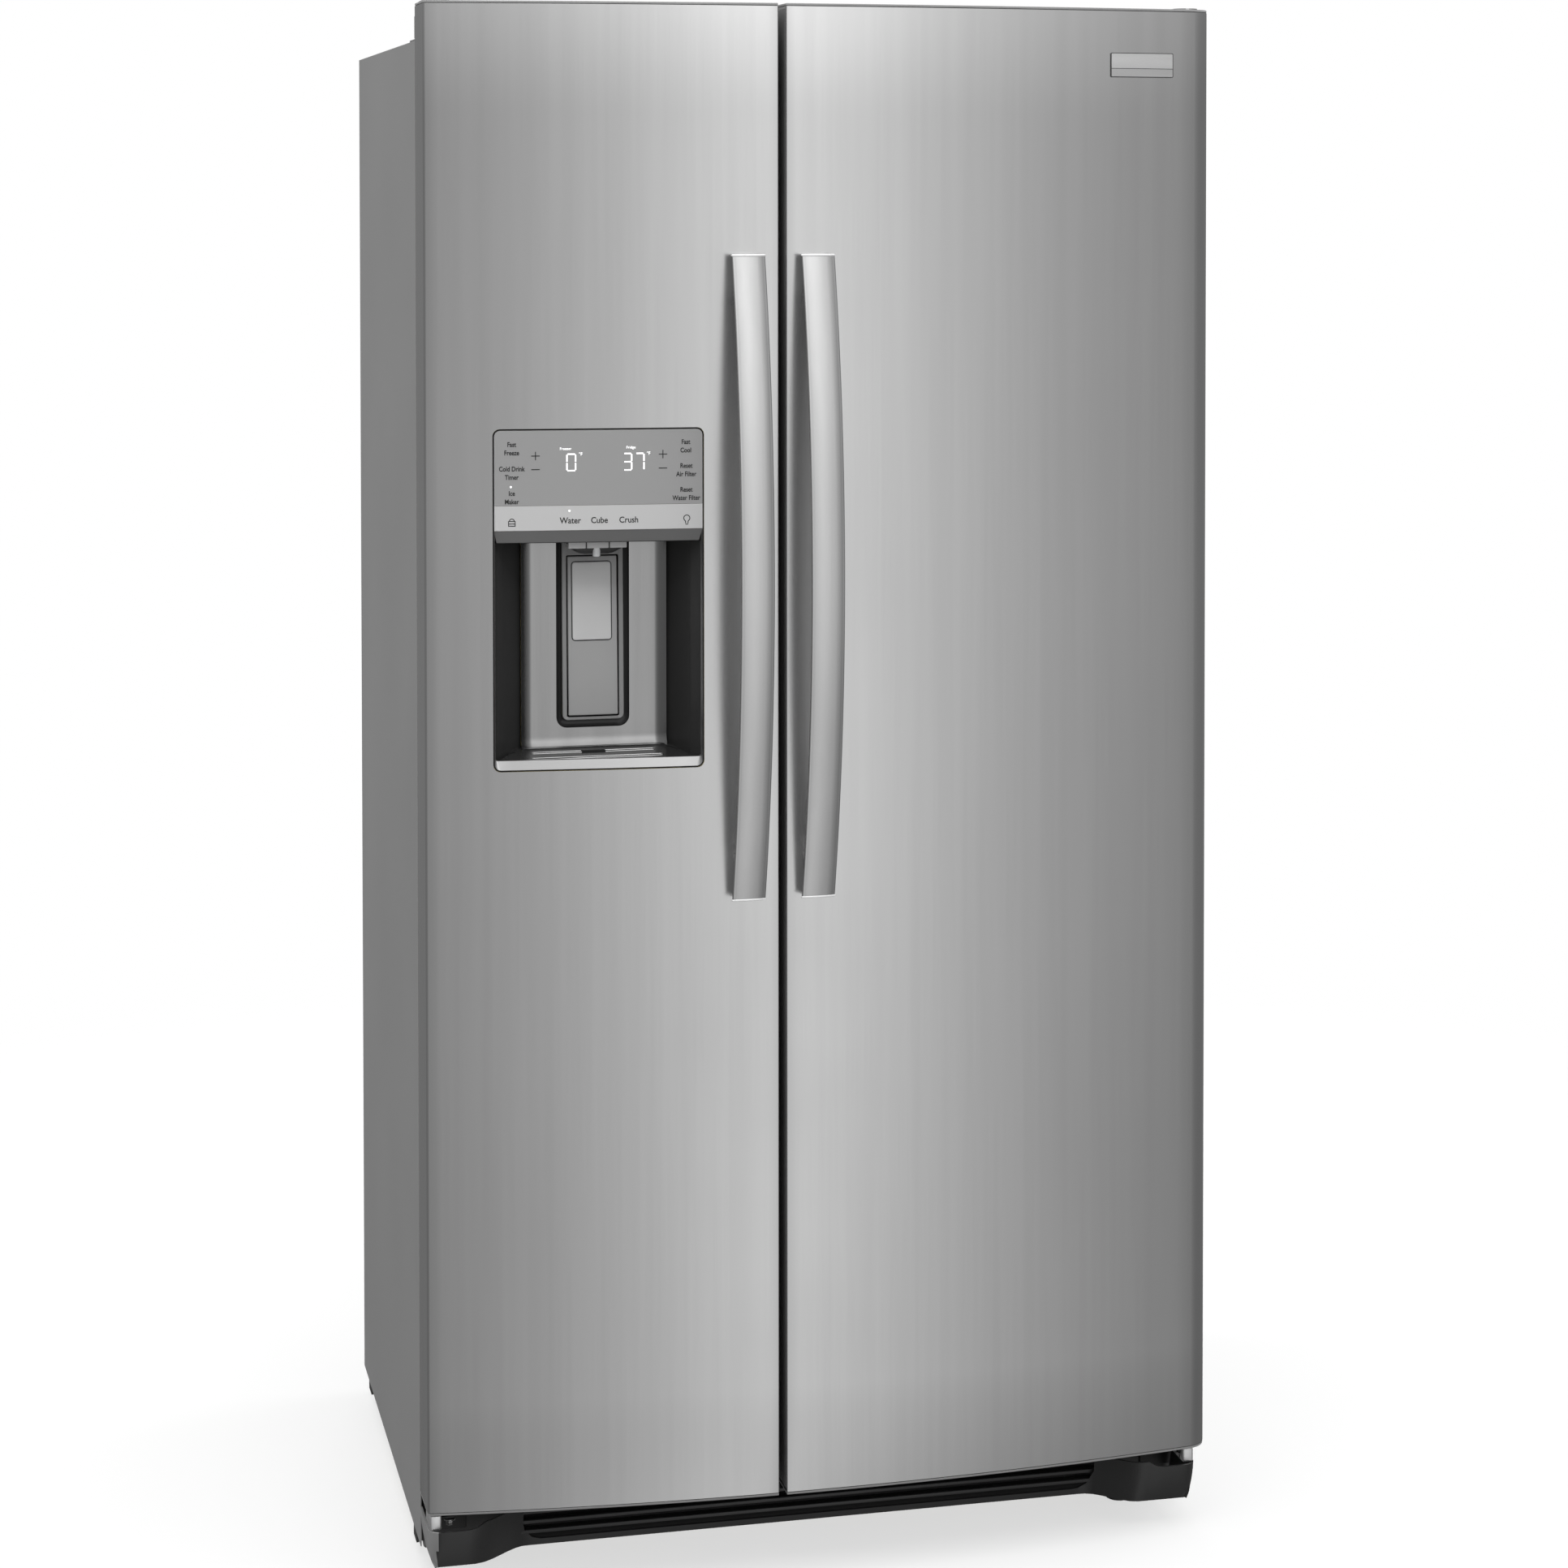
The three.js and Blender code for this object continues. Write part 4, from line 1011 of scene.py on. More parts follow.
def addChute():
    blocks = []
    for x0, x1 in chute["blocks"]:
        low, high = (x0 * mm, chute["y0"], chute["z0"]), (x1 * mm, chute["y1"], chute["z1"])
        blocks.append(roundedBlock(low, high, 0.7 * mm))
    # the chute blocks take the light pad grey: painted light that offsets the shadow of the hood over them
    addToDispenser("chuteBlocks", blocks, padGreyAndPaintedLight)
    x, y = chute["nozzleX"], (chute["y0"] + chute["y1"]) / 2
    rings = []
    for z, halfWidth in chute["funnel"]:
        half = halfWidth * mm
        outline = roundedRect(x - half, x + half, y - half * 0.34, y + half * 0.5, half * 0.2, 4)
        rings.append([Vector((a, b, z * mm)) for a, b in outline])
    # the funnel is near-black: painted shade under the chute
    addToDispenser("chuteFunnel", loft(rings), nichePaintedShade)
    low, radius, y = chute["nozzleLow"], chute["nozzleRadius"], chute["y0"] + chute["nozzleSet"]
    steps = ((chute["z0"], 1.0), (low + 0.8 * mm, 1.0), (low, 0.86))
    rings = [circleRing(x, y, z, radius * share, 20) for z, share in steps]
    rings.append([Vector((x + (p.x - x) * 0.6, p.y, p.z)) for p in rings[-1]])
    addToDispenser("waterNozzle", loft(rings), whiteLiner)


tray = {
    "front": -321.5 * mm,
    "frontSet": 8.5 * mm,      # behind the door face
    "under": 4 * mm,      # how far the tray runs in below the walls
    "slots": ((-305, -338, -190), (-285, -335, -196)),      # y, left and right
    "slotHalf": 1.9 * mm,
    "corners": ((-352, pi / 2), (-181, 0)),      # x and start angle of the raised corner lines
    "notch": (-279 * mm, -252 * mm),
    "rimSet": 5.8 * mm,      # in front of the back
}


def floorZ(y):
    share = (y - tray["front"]) / (niche["back"] - tray["front"])
    return niche["floorFront"] + (niche["floorBack"] - niche["floorFront"]) * share


def addTray():
    first, last = dispenser["x0"] + niche["wallSet"], dispenser["x1"] - niche["wallSet"]
    rows = []
    for y in span(tray["front"], niche["back"] + 2 * mm, 10):
        share = (y - tray["front"]) / (niche["back"] - tray["front"])
        left = first + share * (niche["backLeft"] - first) - tray["under"]
        right = last + share * (niche["backRight"] - last) + tray["under"]
        xs = span(left, right, 12)
        rows.append([Vector((x, max(y, bowY(x) + tray["frontSet"]), floorZ(y))) for x in xs])
    addToDispenser("dripTray", openSheet(rows), trayDark, stands=["dispenser_drip_tray"])

    rims, slotShades = [], []
    half = tray["slotHalf"]
    for place in tray["slots"]:
        y, x0, x1 = (value * mm for value in place)
        rings = []
        for grow, lift in ((1.0, -0.2), (0.8, 0.4), (0.3, 0.5), (0, 0.1), (0, -0.5)):
            g = grow * mm
            outline = roundedRect(x0 - g, x1 + g, y - half - g, y + half + g, half + g, 5)
            rings.append([Vector((a, b, floorZ(b) + lift * mm)) for a, b in outline])
        rims.append(loft(rings, caps=False))
        # a flat near-black face in each slot: painted shade in place of the slot's dark inside
        outline = roundedRect(x0, x1, y - half, y + half, half, 5)
        bm = bmesh.new()
        bm.faces.new([bm.verts.new((a, b, floorZ(b) + 0.08 * mm)) for a, b in outline])
        slotShades.append(meshOf(bm))
    for x, start in tray["corners"]:
        rims.append(stroke(arcPoints(x * mm, -290 * mm, 10 * mm, start, start + pi / 2, 8), 1.4 * mm))
        for vert in rims[-1].vertices:
            vert.co = Vector((vert.co.x, vert.co.z, floorZ(vert.co.z) + 0.5 * mm))
    addToDispenser("traySlotRims", rims, platedSteel)
    addToDispenser("traySlotShade", slotShades, seamBlackAndPaintedShade)

    y = tray["slots"][1][0] * mm
    (x0, x1), z = tray["notch"], floorZ(y)
    notch = roundedBlock((x0, y - 3 * mm, z - 1 * mm), (x1, y + 3 * mm, z + 1.2 * mm), 0.4 * mm)
    addToDispenser("trayNotch", notch, seamBlackAndPaintedShade)
    y = niche["back"] - tray["rimSet"]
    xs = span(niche["backLeft"] + 2 * mm, niche["backRight"] - 2 * mm, 12)
    steps = ((-2.6, 0.1), (-1.2, 1.0), (0.6, 1.2), (1.0, 0.2))
    rows = [[Vector((x, y + dy * mm, floorZ(y) + dz * mm)) for x in xs] for dy, dz in steps]
    addToDispenser("trayBackRim", openSheet(rows), platedSteel)


hoodGrey = mouldedSkin("hoodGrey", grey(0.19), 0.4, 1500, 0.00001)
bezelGrey = mouldedSkin("bezelGrey", grey(0.27), 0.35, 1500, 0.00001)
trayDark = mouldedSkin("trayDark", grey(0.03), 0.22, 1500, 0.00001)
addSurround()
addDisplay()
addLegends()
addHood()
addNicheWalls()
addNicheBack()
addPaddleGroove()
addPaddleBezel()
addPaddle()
addChute()
addTray()
print("dispenser ready")

# name plate, left blank

badge = {
    "divider": 1704 * mm,
    "border": 0.9 * mm,
    "lift": 1.5 * mm,
    "corner": 1.6 * mm,
}


def addBadge():
    low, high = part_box("badge_plate")
    b, lift = badge["border"], badge["lift"]
    base = bowedPlate(low.x, high.x, low.z, high.z, badge["corner"], badge["corner"], -(lift - 0.3 * mm))
    piece = addPiece("badgeBase", base, badgeEdge, "fridge_door", ["badge_plate"])
    thicken(piece, lift - 0.4 * mm)
    x0, x1 = low.x + b, high.x - b
    for name, z0, z1, finish, bottomRound, topRound in (
        ("badgeUpper", badge["divider"] + 0.35 * mm, high.z - b, badgeLight, 0, badge["corner"] - 0.6 * mm),
        ("badgeLower", low.z + b, badge["divider"] - 0.35 * mm, badgeGrey, badge["corner"] - 0.6 * mm, 0),
    ):
        mesh = bowedPlate(x0, x1, z0, z1, bottomRound, topRound, -lift)
        thicken(addPiece(name, mesh, finish, "fridge_door"), 0.8 * mm)


badgeEdge = brushedMetal("badgeEdge", 0.16, 0.4, along="x")
badgeLight = brushedMetal("badgeLight", 0.95, 0.5, along="x")
badgeGrey = brushedMetal("badgeGrey", 0.78, 0.5, along="x")
addBadge()
print("badge ready")

# plastic caps at both ends of the doors

cap = {"lip": 2.5 * mm, "inset": 0.2 * mm, "round": 0.9 * mm, "plug": 12 * mm}


def addCap(name, node, body, edge, inward):
    shape = doorShape(node.replace("cap_top", "skin").replace("cap_bottom", "skin"))
    columns = doorColumns(shape)
    levels = ((cap["round"] * 1.0, 0), (cap["round"] * 0.3, cap["round"] * 0.3), (0, cap["round"]),
              (0, cap["lip"]), (1.4 * mm, cap["lip"]), (1.4 * mm, cap["plug"]))
    rings = []
    for inset, depth in levels:
        z = edge + inward * depth
        rings.append([doorPoint(shape, u, z, cap["inset"] + inset) for u in columns])
    mesh = loft(rings)
    addPiece(name, mesh, capPlastic, body, [node])


for door in ("freezer", "fridge"):
    body = door + "_door"
    top, bottom = body + "_cap_top", body + "_cap_bottom"
    addCap(door + "DoorCapTop", top, body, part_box(top)[1].z, -1)
    addCap(door + "DoorCapBottom", bottom, body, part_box(bottom)[0].z, 1)
print("caps ready")

# toe grille

grille = {
    "bottom": 33 * mm, "top": 84 * mm, "hingeTop": 77 * mm,
    "endY": -304.6 * mm, "middleY": -265.5 * mm, "backY": -224 * mm,
    "halfWidth": 452.6 * mm, "corner": 12 * mm,
    "rightDraw": 13 * mm,      # how far the right bulge stops short of the left one's width
    "bends": (-402 * mm, -338 * mm, 318 * mm, 382 * mm),
    "tuck": 17 * mm, "sideTuck": 6 * mm,
    "opening": (-345 * mm, 330 * mm, 41 * mm, 24 * mm),      # left, right, bottom, corner radius
    "dip": (392 * mm, 14 * mm),      # where the top edge drops below the hinge, and over what length
    "wall": 2.4 * mm,
    "slats": (49, 60, 71),      # undersides, in millimetres
    "slatTall": 4.5,
    "slatDepths": (4 * mm, 18 * mm),      # behind the middle of the front
    "shadeDepths": (24 * mm, 27 * mm),
}


def grillePoint(u, share):
    flat = grille["halfWidth"] - grille["corner"]
    side = 1 if u > 0 else -1
    lean = (1 - share) ** 1.6
    x, y, nx, ny = u, grille["endY"], 0, 1
    if abs(u) > flat:
        past = abs(u) - flat
        angle = min(past / grille["corner"], pi / 2)
        straight = max(past - grille["corner"] * pi / 2, 0)
        x = side * (flat + grille["corner"] * sin(angle))
        y = grille["endY"] + grille["corner"] * (1 - cos(angle)) + straight
        nx, ny = -side * sin(angle), cos(angle)
    else:
        outer, inner = (grille["bends"][3], grille["bends"][2]) if u > 0 else grille["bends"][:2]
        share2 = smoothStep((u - outer) / (inner - outer))
        y += (grille["middleY"] - grille["endY"]) * share2
    dipFrom, dipRun = grille["dip"]
    dip = smoothStep((abs(u) - dipFrom) / dipRun)
    top = grille["top"] + (grille["hingeTop"] - grille["top"]) * dip
    z = grille["bottom"] + (top - grille["bottom"]) * share
    drawFrom = grille["bends"][2]
    x -= grille["rightDraw"] * smoothStep((x - drawFrom) / (grille["halfWidth"] - drawFrom))
    return Vector((x + nx * grille["sideTuck"] * lean, y + ny * grille["tuck"] * lean, z))


def addGrille():
    flat = grille["halfWidth"] - grille["corner"]
    arc = grille["corner"] * pi / 2
    straight = grille["backY"] - grille["endY"] - grille["corner"]
    us = span(-flat, flat, 90)
    for sign in (-1, 1):
        us += [sign * (flat + a) for a in span(0, arc, 6)] + [sign * (flat + arc + straight)]
    left, right, low, radius = grille["opening"]
    height = grille["top"] - grille["bottom"]
    us = merged(us, [left, left + radius, right - radius, right])
    mesh = bmesh.new()
    made = {}

    def vert(u, share):
        key = (round(u, 6), round(share, 6))
        if key not in made:
            made[key] = mesh.verts.new(grillePoint(u, share))
        return made[key]

    floorShare = (low - grille["bottom"]) / height

    def openingShare(u):      # bottom edge of the louvre opening above u
        near = min(u - left, right - u)
        if near >= radius:
            return floorShare
        drop = radius - sqrt(max(radius ** 2 - (radius - near) ** 2, 0))
        return min(floorShare + drop / height, 1)

    for u0, u1 in zip(us, us[1:]):
        inside = left - 1e-6 <= u0 and u1 <= right + 1e-6
        tops = (openingShare(u0), openingShare(u1)) if inside else (1, 1)
        count = 6
        for i in range(count):
            a, b = i / count, (i + 1) / count
            places = ((u0, a * tops[0]), (u1, a * tops[1]), (u1, b * tops[1]), (u0, b * tops[0]))
            corners = list(dict.fromkeys(vert(u, share) for u, share in places))
            if len(corners) > 2:
                mesh.faces.new(corners)
    piece = addPiece("toeGrille", meshOf(mesh), charcoal, "cabinet", ["toe_grille"])
    piece.data.materials.append(sidePaint)
    for face in piece.data.polygons:      # the left end is painted like the side
        if face.center.x < -flat - 0.3 * grille["corner"]:
            face.material_index = 1
    thicken(piece, grille["wall"], 1.0)
    middle = grille["middleY"]
    near, far = grille["slatDepths"]
    slats = []
    for z in grille["slats"]:
        start = (left - 6 * mm, middle + near, z * mm)
        end = (right + 6 * mm, middle + far, (z + grille["slatTall"]) * mm)
        slats.append(roundedBlock(start, end, 1.4 * mm))
    addPiece("grilleSlats", slats, charcoal, "cabinet")
    # a near-black plate behind the louvres: painted shade for the dark space inside the base
    near, far = grille["shadeDepths"]
    start = (left - 8 * mm, middle + near, grille["bottom"] + 2 * mm)
    shade = roundedBlock(start, (right + 8 * mm, middle + far, grille["top"]), 0.8 * mm)
    addPiece("grilleShade", shade, seamBlackAndPaintedShade, "cabinet")


addGrille()
print("grille ready")

# lower hinges

# boxes as low and high corners in millimetres on the right side; the left side is mirrored
hinge = {
    "pin": (436 * mm, -268 * mm),
    "plate": (86 * mm, 89.5 * mm),
    "boss": 16 * mm,
    "block": ((440, -300, 77), (453.2, -262, 94)),
    "link": ((424, -292, 86), (441, -262, 89.5)),
    "shelf": ((420, -266, 86), (452, -214.5, 89.5)),
    "upright": ((402, -217.5, 46), (452, -214.5, 89.5)),
    "rightDraw": 13,      # how much further in the right block stands
    "bolt": (430 * mm, -289 * mm),
    "screw": (431 * mm, -283 * mm),
    # height and radius in millimetres along each fastener
    "nutProfile": ((89.4, 9), (90, 10), (93.6, 10), (94.3, 9)),
    "pinProfile": ((94, 6), (106.8, 6)),
    "boltProfile": ((79, 3.4), (79.6, 4.2), (86, 4.2)),
    "screwProfile": ((89.4, 5.6), (91.5, 5.6), (92.6, 3.6)),
    "washerProfile": ((84.6, 6.2), (85.2, 6.6), (86, 6.6)),
}


def addLowerHinge(name, node, sign):
    def boxPart(key, radius, draw=0):
        low, high = hinge[key]
        x0, x1 = sorted((sign * (low[0] - draw) * mm, sign * (high[0] - draw) * mm))
        return roundedBlock((x0, low[1] * mm, low[2] * mm), (x1, high[1] * mm, high[2] * mm), radius)

    draw = hinge["rightDraw"] if sign > 0 else 0
    addPiece(name + "Block", boxPart("block", 2.4 * mm, draw), blockSteel, "cabinet")
    pin, bolt, screwPlace = ((sign * hinge[key][0], hinge[key][1]) for key in ("pin", "bolt", "screw"))
    (z0, z1), edge = hinge["plate"], 0.6 * mm
    steps = ((z0, edge), (z0 + edge, 0), (z1 - edge, 0), (z1, edge))
    boss = loft([circleRing(*pin, z, hinge["boss"] - less) for z, less in steps])
    parts = [boxPart(key, 0.8 * mm) for key in ("link", "shelf", "upright")] + [boss]
    addPiece(name, parts, bracketPaintedShade, "cabinet", [node])

    def sixSided(place, key, turn):
        return loft([hexRing(*place, z * mm, r * mm, turn) for z, r in hinge[key]])

    def turned(place, key, steps=24):
        return loft([circleRing(*place, z * mm, r * mm, steps) for z, r in hinge[key]])

    fasteners = [
        sixSided(pin, "nutProfile", 0.3), turned(pin, "pinProfile", 20),
        sixSided(bolt, "boltProfile", 0.2), turned(screwPlace, "screwProfile"), turned(bolt, "washerProfile"),
    ]
    addPiece(name + "Fasteners", fasteners, platedSteel, "cabinet")


blockSteel = brushedMetal("blockSteel", 0.95, 0.45, along="x")
# near-black steel for the bracket, link and boss: painted shade for the dark recess round the lower hinge
bracketPaintedShade = brushedMetal("bracketPaintedShade", 0.035, 0.4, along="x")
addLowerHinge("lowerHingeLeft", "bottom_hinge_left", -1)
addLowerHinge("lowerHingeRight", "bottom_hinge_right", 1)
print("lower hinges ready")

# doors, seen from inside

doorLiner = {
    "seat": -232 * mm,      # where it lies on the door edge
    "crest": -172 * mm,
    "z0": 176 * mm,
    "z1": 1664 * mm,
    "wall": 20 * mm,
    "rimCorner": 4 * mm,
    "corner": 22 * mm,
    "leastCorner": 5 * mm,
    "railStep": 92 * mm,
    "railTall": 7 * mm,
    "railThick": 0.6 * mm,
    "railClear": 0.08,      # from both ends of the raised frame
}


# a flat rim, a raised rounded frame with drafted walls and the well inside it
def addDoorLiner(name, node, body, x0, x1):
    low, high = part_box(node)
    seat, crest, wall = doorLiner["seat"], doorLiner["crest"], doorLiner["wall"]
    z0, z1 = doorLiner["z0"], doorLiner["z1"]
    within = wall / mm

    def corner(inset):
        return max(doorLiner["corner"] - inset * 0.7, doorLiner["leastCorner"])

    rim = ((0.3, low.y), (0, low.y + 0.6 * mm), (0, seat - 0.4 * mm), (0.5, seat))
    frameSteps = (
        (0, seat), (0.6, seat + 1.5 * mm), (1, seat + 5 * mm),
        (3, crest - 5 * mm), (4, crest - 1.6 * mm), (6.4, crest),
        (within - 4.5, crest), (within - 2, crest - 1.6 * mm), (within - 1, crest - 5 * mm),
        (within + 0.8, seat + 9 * mm), (within + 3, seat + 3 * mm), (within + 8, seat + 0.6 * mm),
    )
    rings = facingRings(low.x, high.x, low.z, high.z, rim, doorLiner["rimCorner"], 6)
    rings += facingRings(x0, x1, z0, z1, frameSteps, corner, 6)
    addPiece(name, loft(rings), whiteLiner, body, [node], 50)

    step, clear, thick = doorLiner["railStep"], doorLiner["railClear"], doorLiner["railThick"]
    rails = []
    for i in range(int((z1 - z0 - 2 * clear) / step)):
        z = z0 + clear + i * step
        for x in (x0 + wall - 0.4 * mm, x1 - wall - 0.2 * mm):
            start = (x, seat + 16 * mm, z)
            end = (x + thick, crest - 12 * mm, z + doorLiner["railTall"])
            rails.append(roundedBlock(start, end, 0.2 * mm, 2))
    addPiece(name + "Rails", rails, whiteLiner, body)


addDoorLiner("freezerDoorLiner", "freezer_door_inner_panel", "freezer_door", -392 * mm, -106 * mm)
addDoorLiner("fridgeDoorLiner", "fridge_door_inner_panel", "fridge_door", -14 * mm, 392 * mm)

seal = {"band": 19 * mm, "leastCorner": 4 * mm}


# a hollow seal with a shallow groove along its face
def addSeal(name, node, body):
    low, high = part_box(node)
    wide = seal["band"] / mm
    steps = (
        (0.6, low.y), (0, low.y + 1.5 * mm), (1, low.y + 4 * mm), (0, low.y + 7 * mm),
        (0.8, high.y - 0.4 * mm), (3, high.y), (8, high.y), (9.5, high.y - 1 * mm), (11, high.y),
        (16, high.y),
        (wide - 0.8, high.y - 0.4 * mm), (wide, low.y + 7 * mm), (wide - 1, low.y + 4 * mm),
        (wide, low.y + 1.5 * mm), (wide - 0.6, low.y),
    )

    def corner(inset):
        return max(seal["leastCorner"], seal["band"] * 0.45 - inset * 0.3)

    rings = facingRings(low.x, high.x, low.z, high.z, steps, corner, 4)
    addPiece(name, loft(rings, caps=False), sealRubber, body, [node], 50)


addSeal("freezerDoorSeal", "freezer_door_gasket", "freezer_door")
addSeal("fridgeDoorSeal", "fridge_door_gasket", "fridge_door")
print("door linings ready")

# bins, baskets and drawers

binShape = {
    "wall": 3 * mm, "corner": 14 * mm, "leastCorner": 3 * mm, "foot": 5 * mm,
    "flare": 3 * mm, "lip": 2 * mm, "lipHeight": 7 * mm,
    "bandEnds": 10 * mm, "bandLow": 26 * mm, "bandHigh": 9 * mm,      # from the sides and below the top
}


# an open box with drafted walls, rounded corners and a turned-out lip
def openBox(low, high):
    wall, lip, r = binShape["wall"], binShape["lip"], binShape["foot"]
    base = binShape["flare"] + lip
    inner = base + wall
    top, under, floor = high.z, high.z - binShape["lipHeight"], low.z + wall

    def ring(inset, z):
        radius = max(binShape["corner"] - inset * 0.5, binShape["leastCorner"])
        outline = roundedRect(low.x + inset, high.x - inset, low.y + inset, high.y - inset, radius, 5)
        return [Vector((x, y, z)) for x, y in outline]

    steps = (
        (base + r, low.z), (base + r * 0.3, low.z + r * 0.3), (base, low.z + r),
        (lip, under), (0.4 * mm, under + 0.3 * mm), (0, under + 1 * mm),
        (0, top - 1 * mm), (0.6 * mm, top), (lip + wall - 0.8 * mm, top), (lip + wall, top - 1 * mm),
        (inner, floor + r), (inner + r * 0.3, floor + r * 0.3), (inner + r, floor),
    )
    return loft([ring(inset, z) for inset, z in steps])


def addDoorBin(name, node, body):
    low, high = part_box(node)
    addPiece(name, openBox(low, high), clearBin, body, [node], 50)
    start = (low.x + binShape["bandEnds"], high.y - 2.6 * mm, high.z - binShape["bandLow"])
    end = (high.x - binShape["bandEnds"], high.y + 0.6 * mm, high.z - binShape["bandHigh"])
    addPiece(name + "Band", roundedBlock(start, end, 1 * mm), trimGrey, body)


addDoorBin("freezerDoorBin", "freezer_door_bin", "freezer_door")
addDoorBin("fridgeDoorBin", "fridge_door_bin", "fridge_door")

basket = {"slots": 9, "firstSlot": 0.035, "slotStep": 0.0125, "slotTall": 6 * mm, "slotEnds": 40 * mm}


def addBasket():
    low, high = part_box("freezer_basket")
    box = openBox(low, high)
    addPiece("freezerBasket", box, whiteLiner, "cabinet", ["freezer_basket"], 50)
    bars = []
    for i in range(basket["slots"]):
        z = low.z + basket["firstSlot"] + i * basket["slotStep"]
        start = (low.x + basket["slotEnds"], low.y + 3.4 * mm, z)
        end = (high.x - basket["slotEnds"], low.y + 5.2 * mm, z + basket["slotTall"])
        bars.append(roundedBlock(start, end, 0.6 * mm, 2))
    addPiece("freezerBasketSlots", bars, trimGrey, "cabinet")


addBasket()

drawer = {
    "pullDepth": 12 * mm,
    "pullEnds": 66 * mm,
    "pullHeights": (17 * mm, 5 * mm),      # below the top
    "faceEnds": 6 * mm,
    "faceHeights": (46 * mm, 1 * mm),
}


def addDrawer(name, node):
    low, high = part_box(node)
    front = low.y + drawer["pullDepth"]
    box = openBox(Vector((low.x, front, low.z)), high)
    addPiece(name, box, clearBin, "cabinet", [node], 50)
    bottom, top = drawer["faceHeights"]
    face = roundedBlock((low.x + drawer["faceEnds"], front - 1 * mm, high.z - bottom),
                        (high.x - drawer["faceEnds"], front + 3 * mm, high.z - top), 2 * mm)
    bottom, top = drawer["pullHeights"]
    pull = roundedBlock((low.x + drawer["pullEnds"], low.y, high.z - bottom),
                        (high.x - drawer["pullEnds"], front + 1 * mm, high.z - top), 4 * mm, 4)
    addPiece(name + "Front", [face, pull], trimGrey, "cabinet")


addDrawer("deliDrawer", "deli_drawer")
addDrawer("crisperDrawer", "crisper_drawer")

dairy = {"binCorner": 9 * mm, "lidCorner": 7 * mm, "gripEnds": 0.12, "gripHeights": (16 * mm, 9 * mm)}


def addDairy():
    low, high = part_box("dairy_bin")
    within = binShape["wall"] / mm
    steps = (
        (2, low.y), (0, low.y + 2 * mm), (0, high.y - 1 * mm), (0.8, high.y),
        (within - 0.6, high.y), (within, high.y - 1 * mm),
        (within + 1, low.y + 6 * mm), (within + 5, low.y + 4 * mm),
    )
    rings = facingRings(low.x, high.x, low.z, high.z, steps, dairy["binCorner"])
    addPiece("dairyBin", loft(rings), clearBin, "fridge_door", ["dairy_bin"], 50)

    low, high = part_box("dairy_lid")
    steps = ((1, low.y), (0, low.y + 0.6 * mm), (0, high.y - 1 * mm), (1, high.y),
             (20, high.y), (22, high.y - 0.8 * mm))
    rings = facingRings(low.x, high.x, low.z, high.z, steps, dairy["lidCorner"])
    addPiece("dairyLid", loft(rings), clearBin, "dairy_lid", ["dairy_lid"], 50)
    bottom, top = dairy["gripHeights"]
    grip = roundedBlock((low.x + dairy["gripEnds"], high.y - 0.5 * mm, high.z - bottom),
                        (high.x - dairy["gripEnds"], high.y + 2.4 * mm, high.z - top), 1.4 * mm)
    addPiece("dairyLidGrip", grip, trimGrey, "dairy_lid")


addDairy()
print("bins and drawers ready")

# compartments

room = {
    "floor": 150 * mm,
    "ceiling": 1680 * mm,
    "back": 340 * mm,
    "stepFront": 130 * mm,      # the floor steps up over the machine space
    "stepTop": 360 * mm,
    "corner": 16 * mm,
    "ledge": (-0.1, 0.28),      # front and back of the shelf ledges
    "freezerLedges": (500, 676, 854, 1040, 1220),
    "fridgeLedges": (590, 770, 954, 1140, 1324, 1500),
}


def addRoom(name, node, x0, x1, ledgeHeights):
    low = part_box(node)[0]
    floor, step, back, top = room["floor"], room["stepFront"], room["back"], room["stepTop"]
    # inset in millimetres, y and the height of the floor there
    stations = (
        (-1.6, low.y, floor), (-1.4, low.y, floor),
        (-0.4, low.y + 0.6 * mm, floor), (0, low.y + 2 * mm, floor),
        (0.6, step - 12 * mm, floor), (0.6, step - 3 * mm, floor + 3 * mm), (0.6, step, floor + 12 * mm),
        (0.6, step, top - 1.4 * mm), (0.6, step + 0.4 * mm, top - 0.4 * mm), (0.6, step + 1.4 * mm, top),
        (1.2, back - 14 * mm, top), (4, back - 4 * mm, top + 3 * mm), (14, back, top + 12 * mm),
    )
    rings = []
    for inset, y, bottom in stations:
        i = inset * mm
        outline = roundedRect(x0 + i, x1 - i, bottom + i, room["ceiling"] - i, room["corner"], 6)
        rings.append([Vector((x, y, z)) for x, z in outline])
    addPiece(name, loft(rings, startCap=False), whiteLiner, "cabinet", [node], 50)
    ledges = []
    front, rear = room["ledge"]
    for height in ledgeHeights:
        z = height * mm
        for x in (x0 + 0.2 * mm, x1 - 0.9 * mm):
            ledges.append(roundedBlock((x, front, z - 9 * mm), (x + 0.7 * mm, rear, z - 2 * mm), 0.3 * mm, 2))
    addPiece(name + "Ledges", ledges, whiteLiner, "cabinet")


addRoom("freezerRoom", "freezer_liner", -399 * mm, -90 * mm, room["freezerLedges"])
addRoom("fridgeRoom", "fresh_food_liner", -30 * mm, 399 * mm, room["fridgeLedges"])

shelf = {
    "under": 6 * mm, "thick": 6 * mm,
    "front": 14 * mm, "side": 9 * mm, "back": 12 * mm,
    "pane": (1.4 * mm, 4.6 * mm),      # bottom and top of the glass above the frame's underside
}


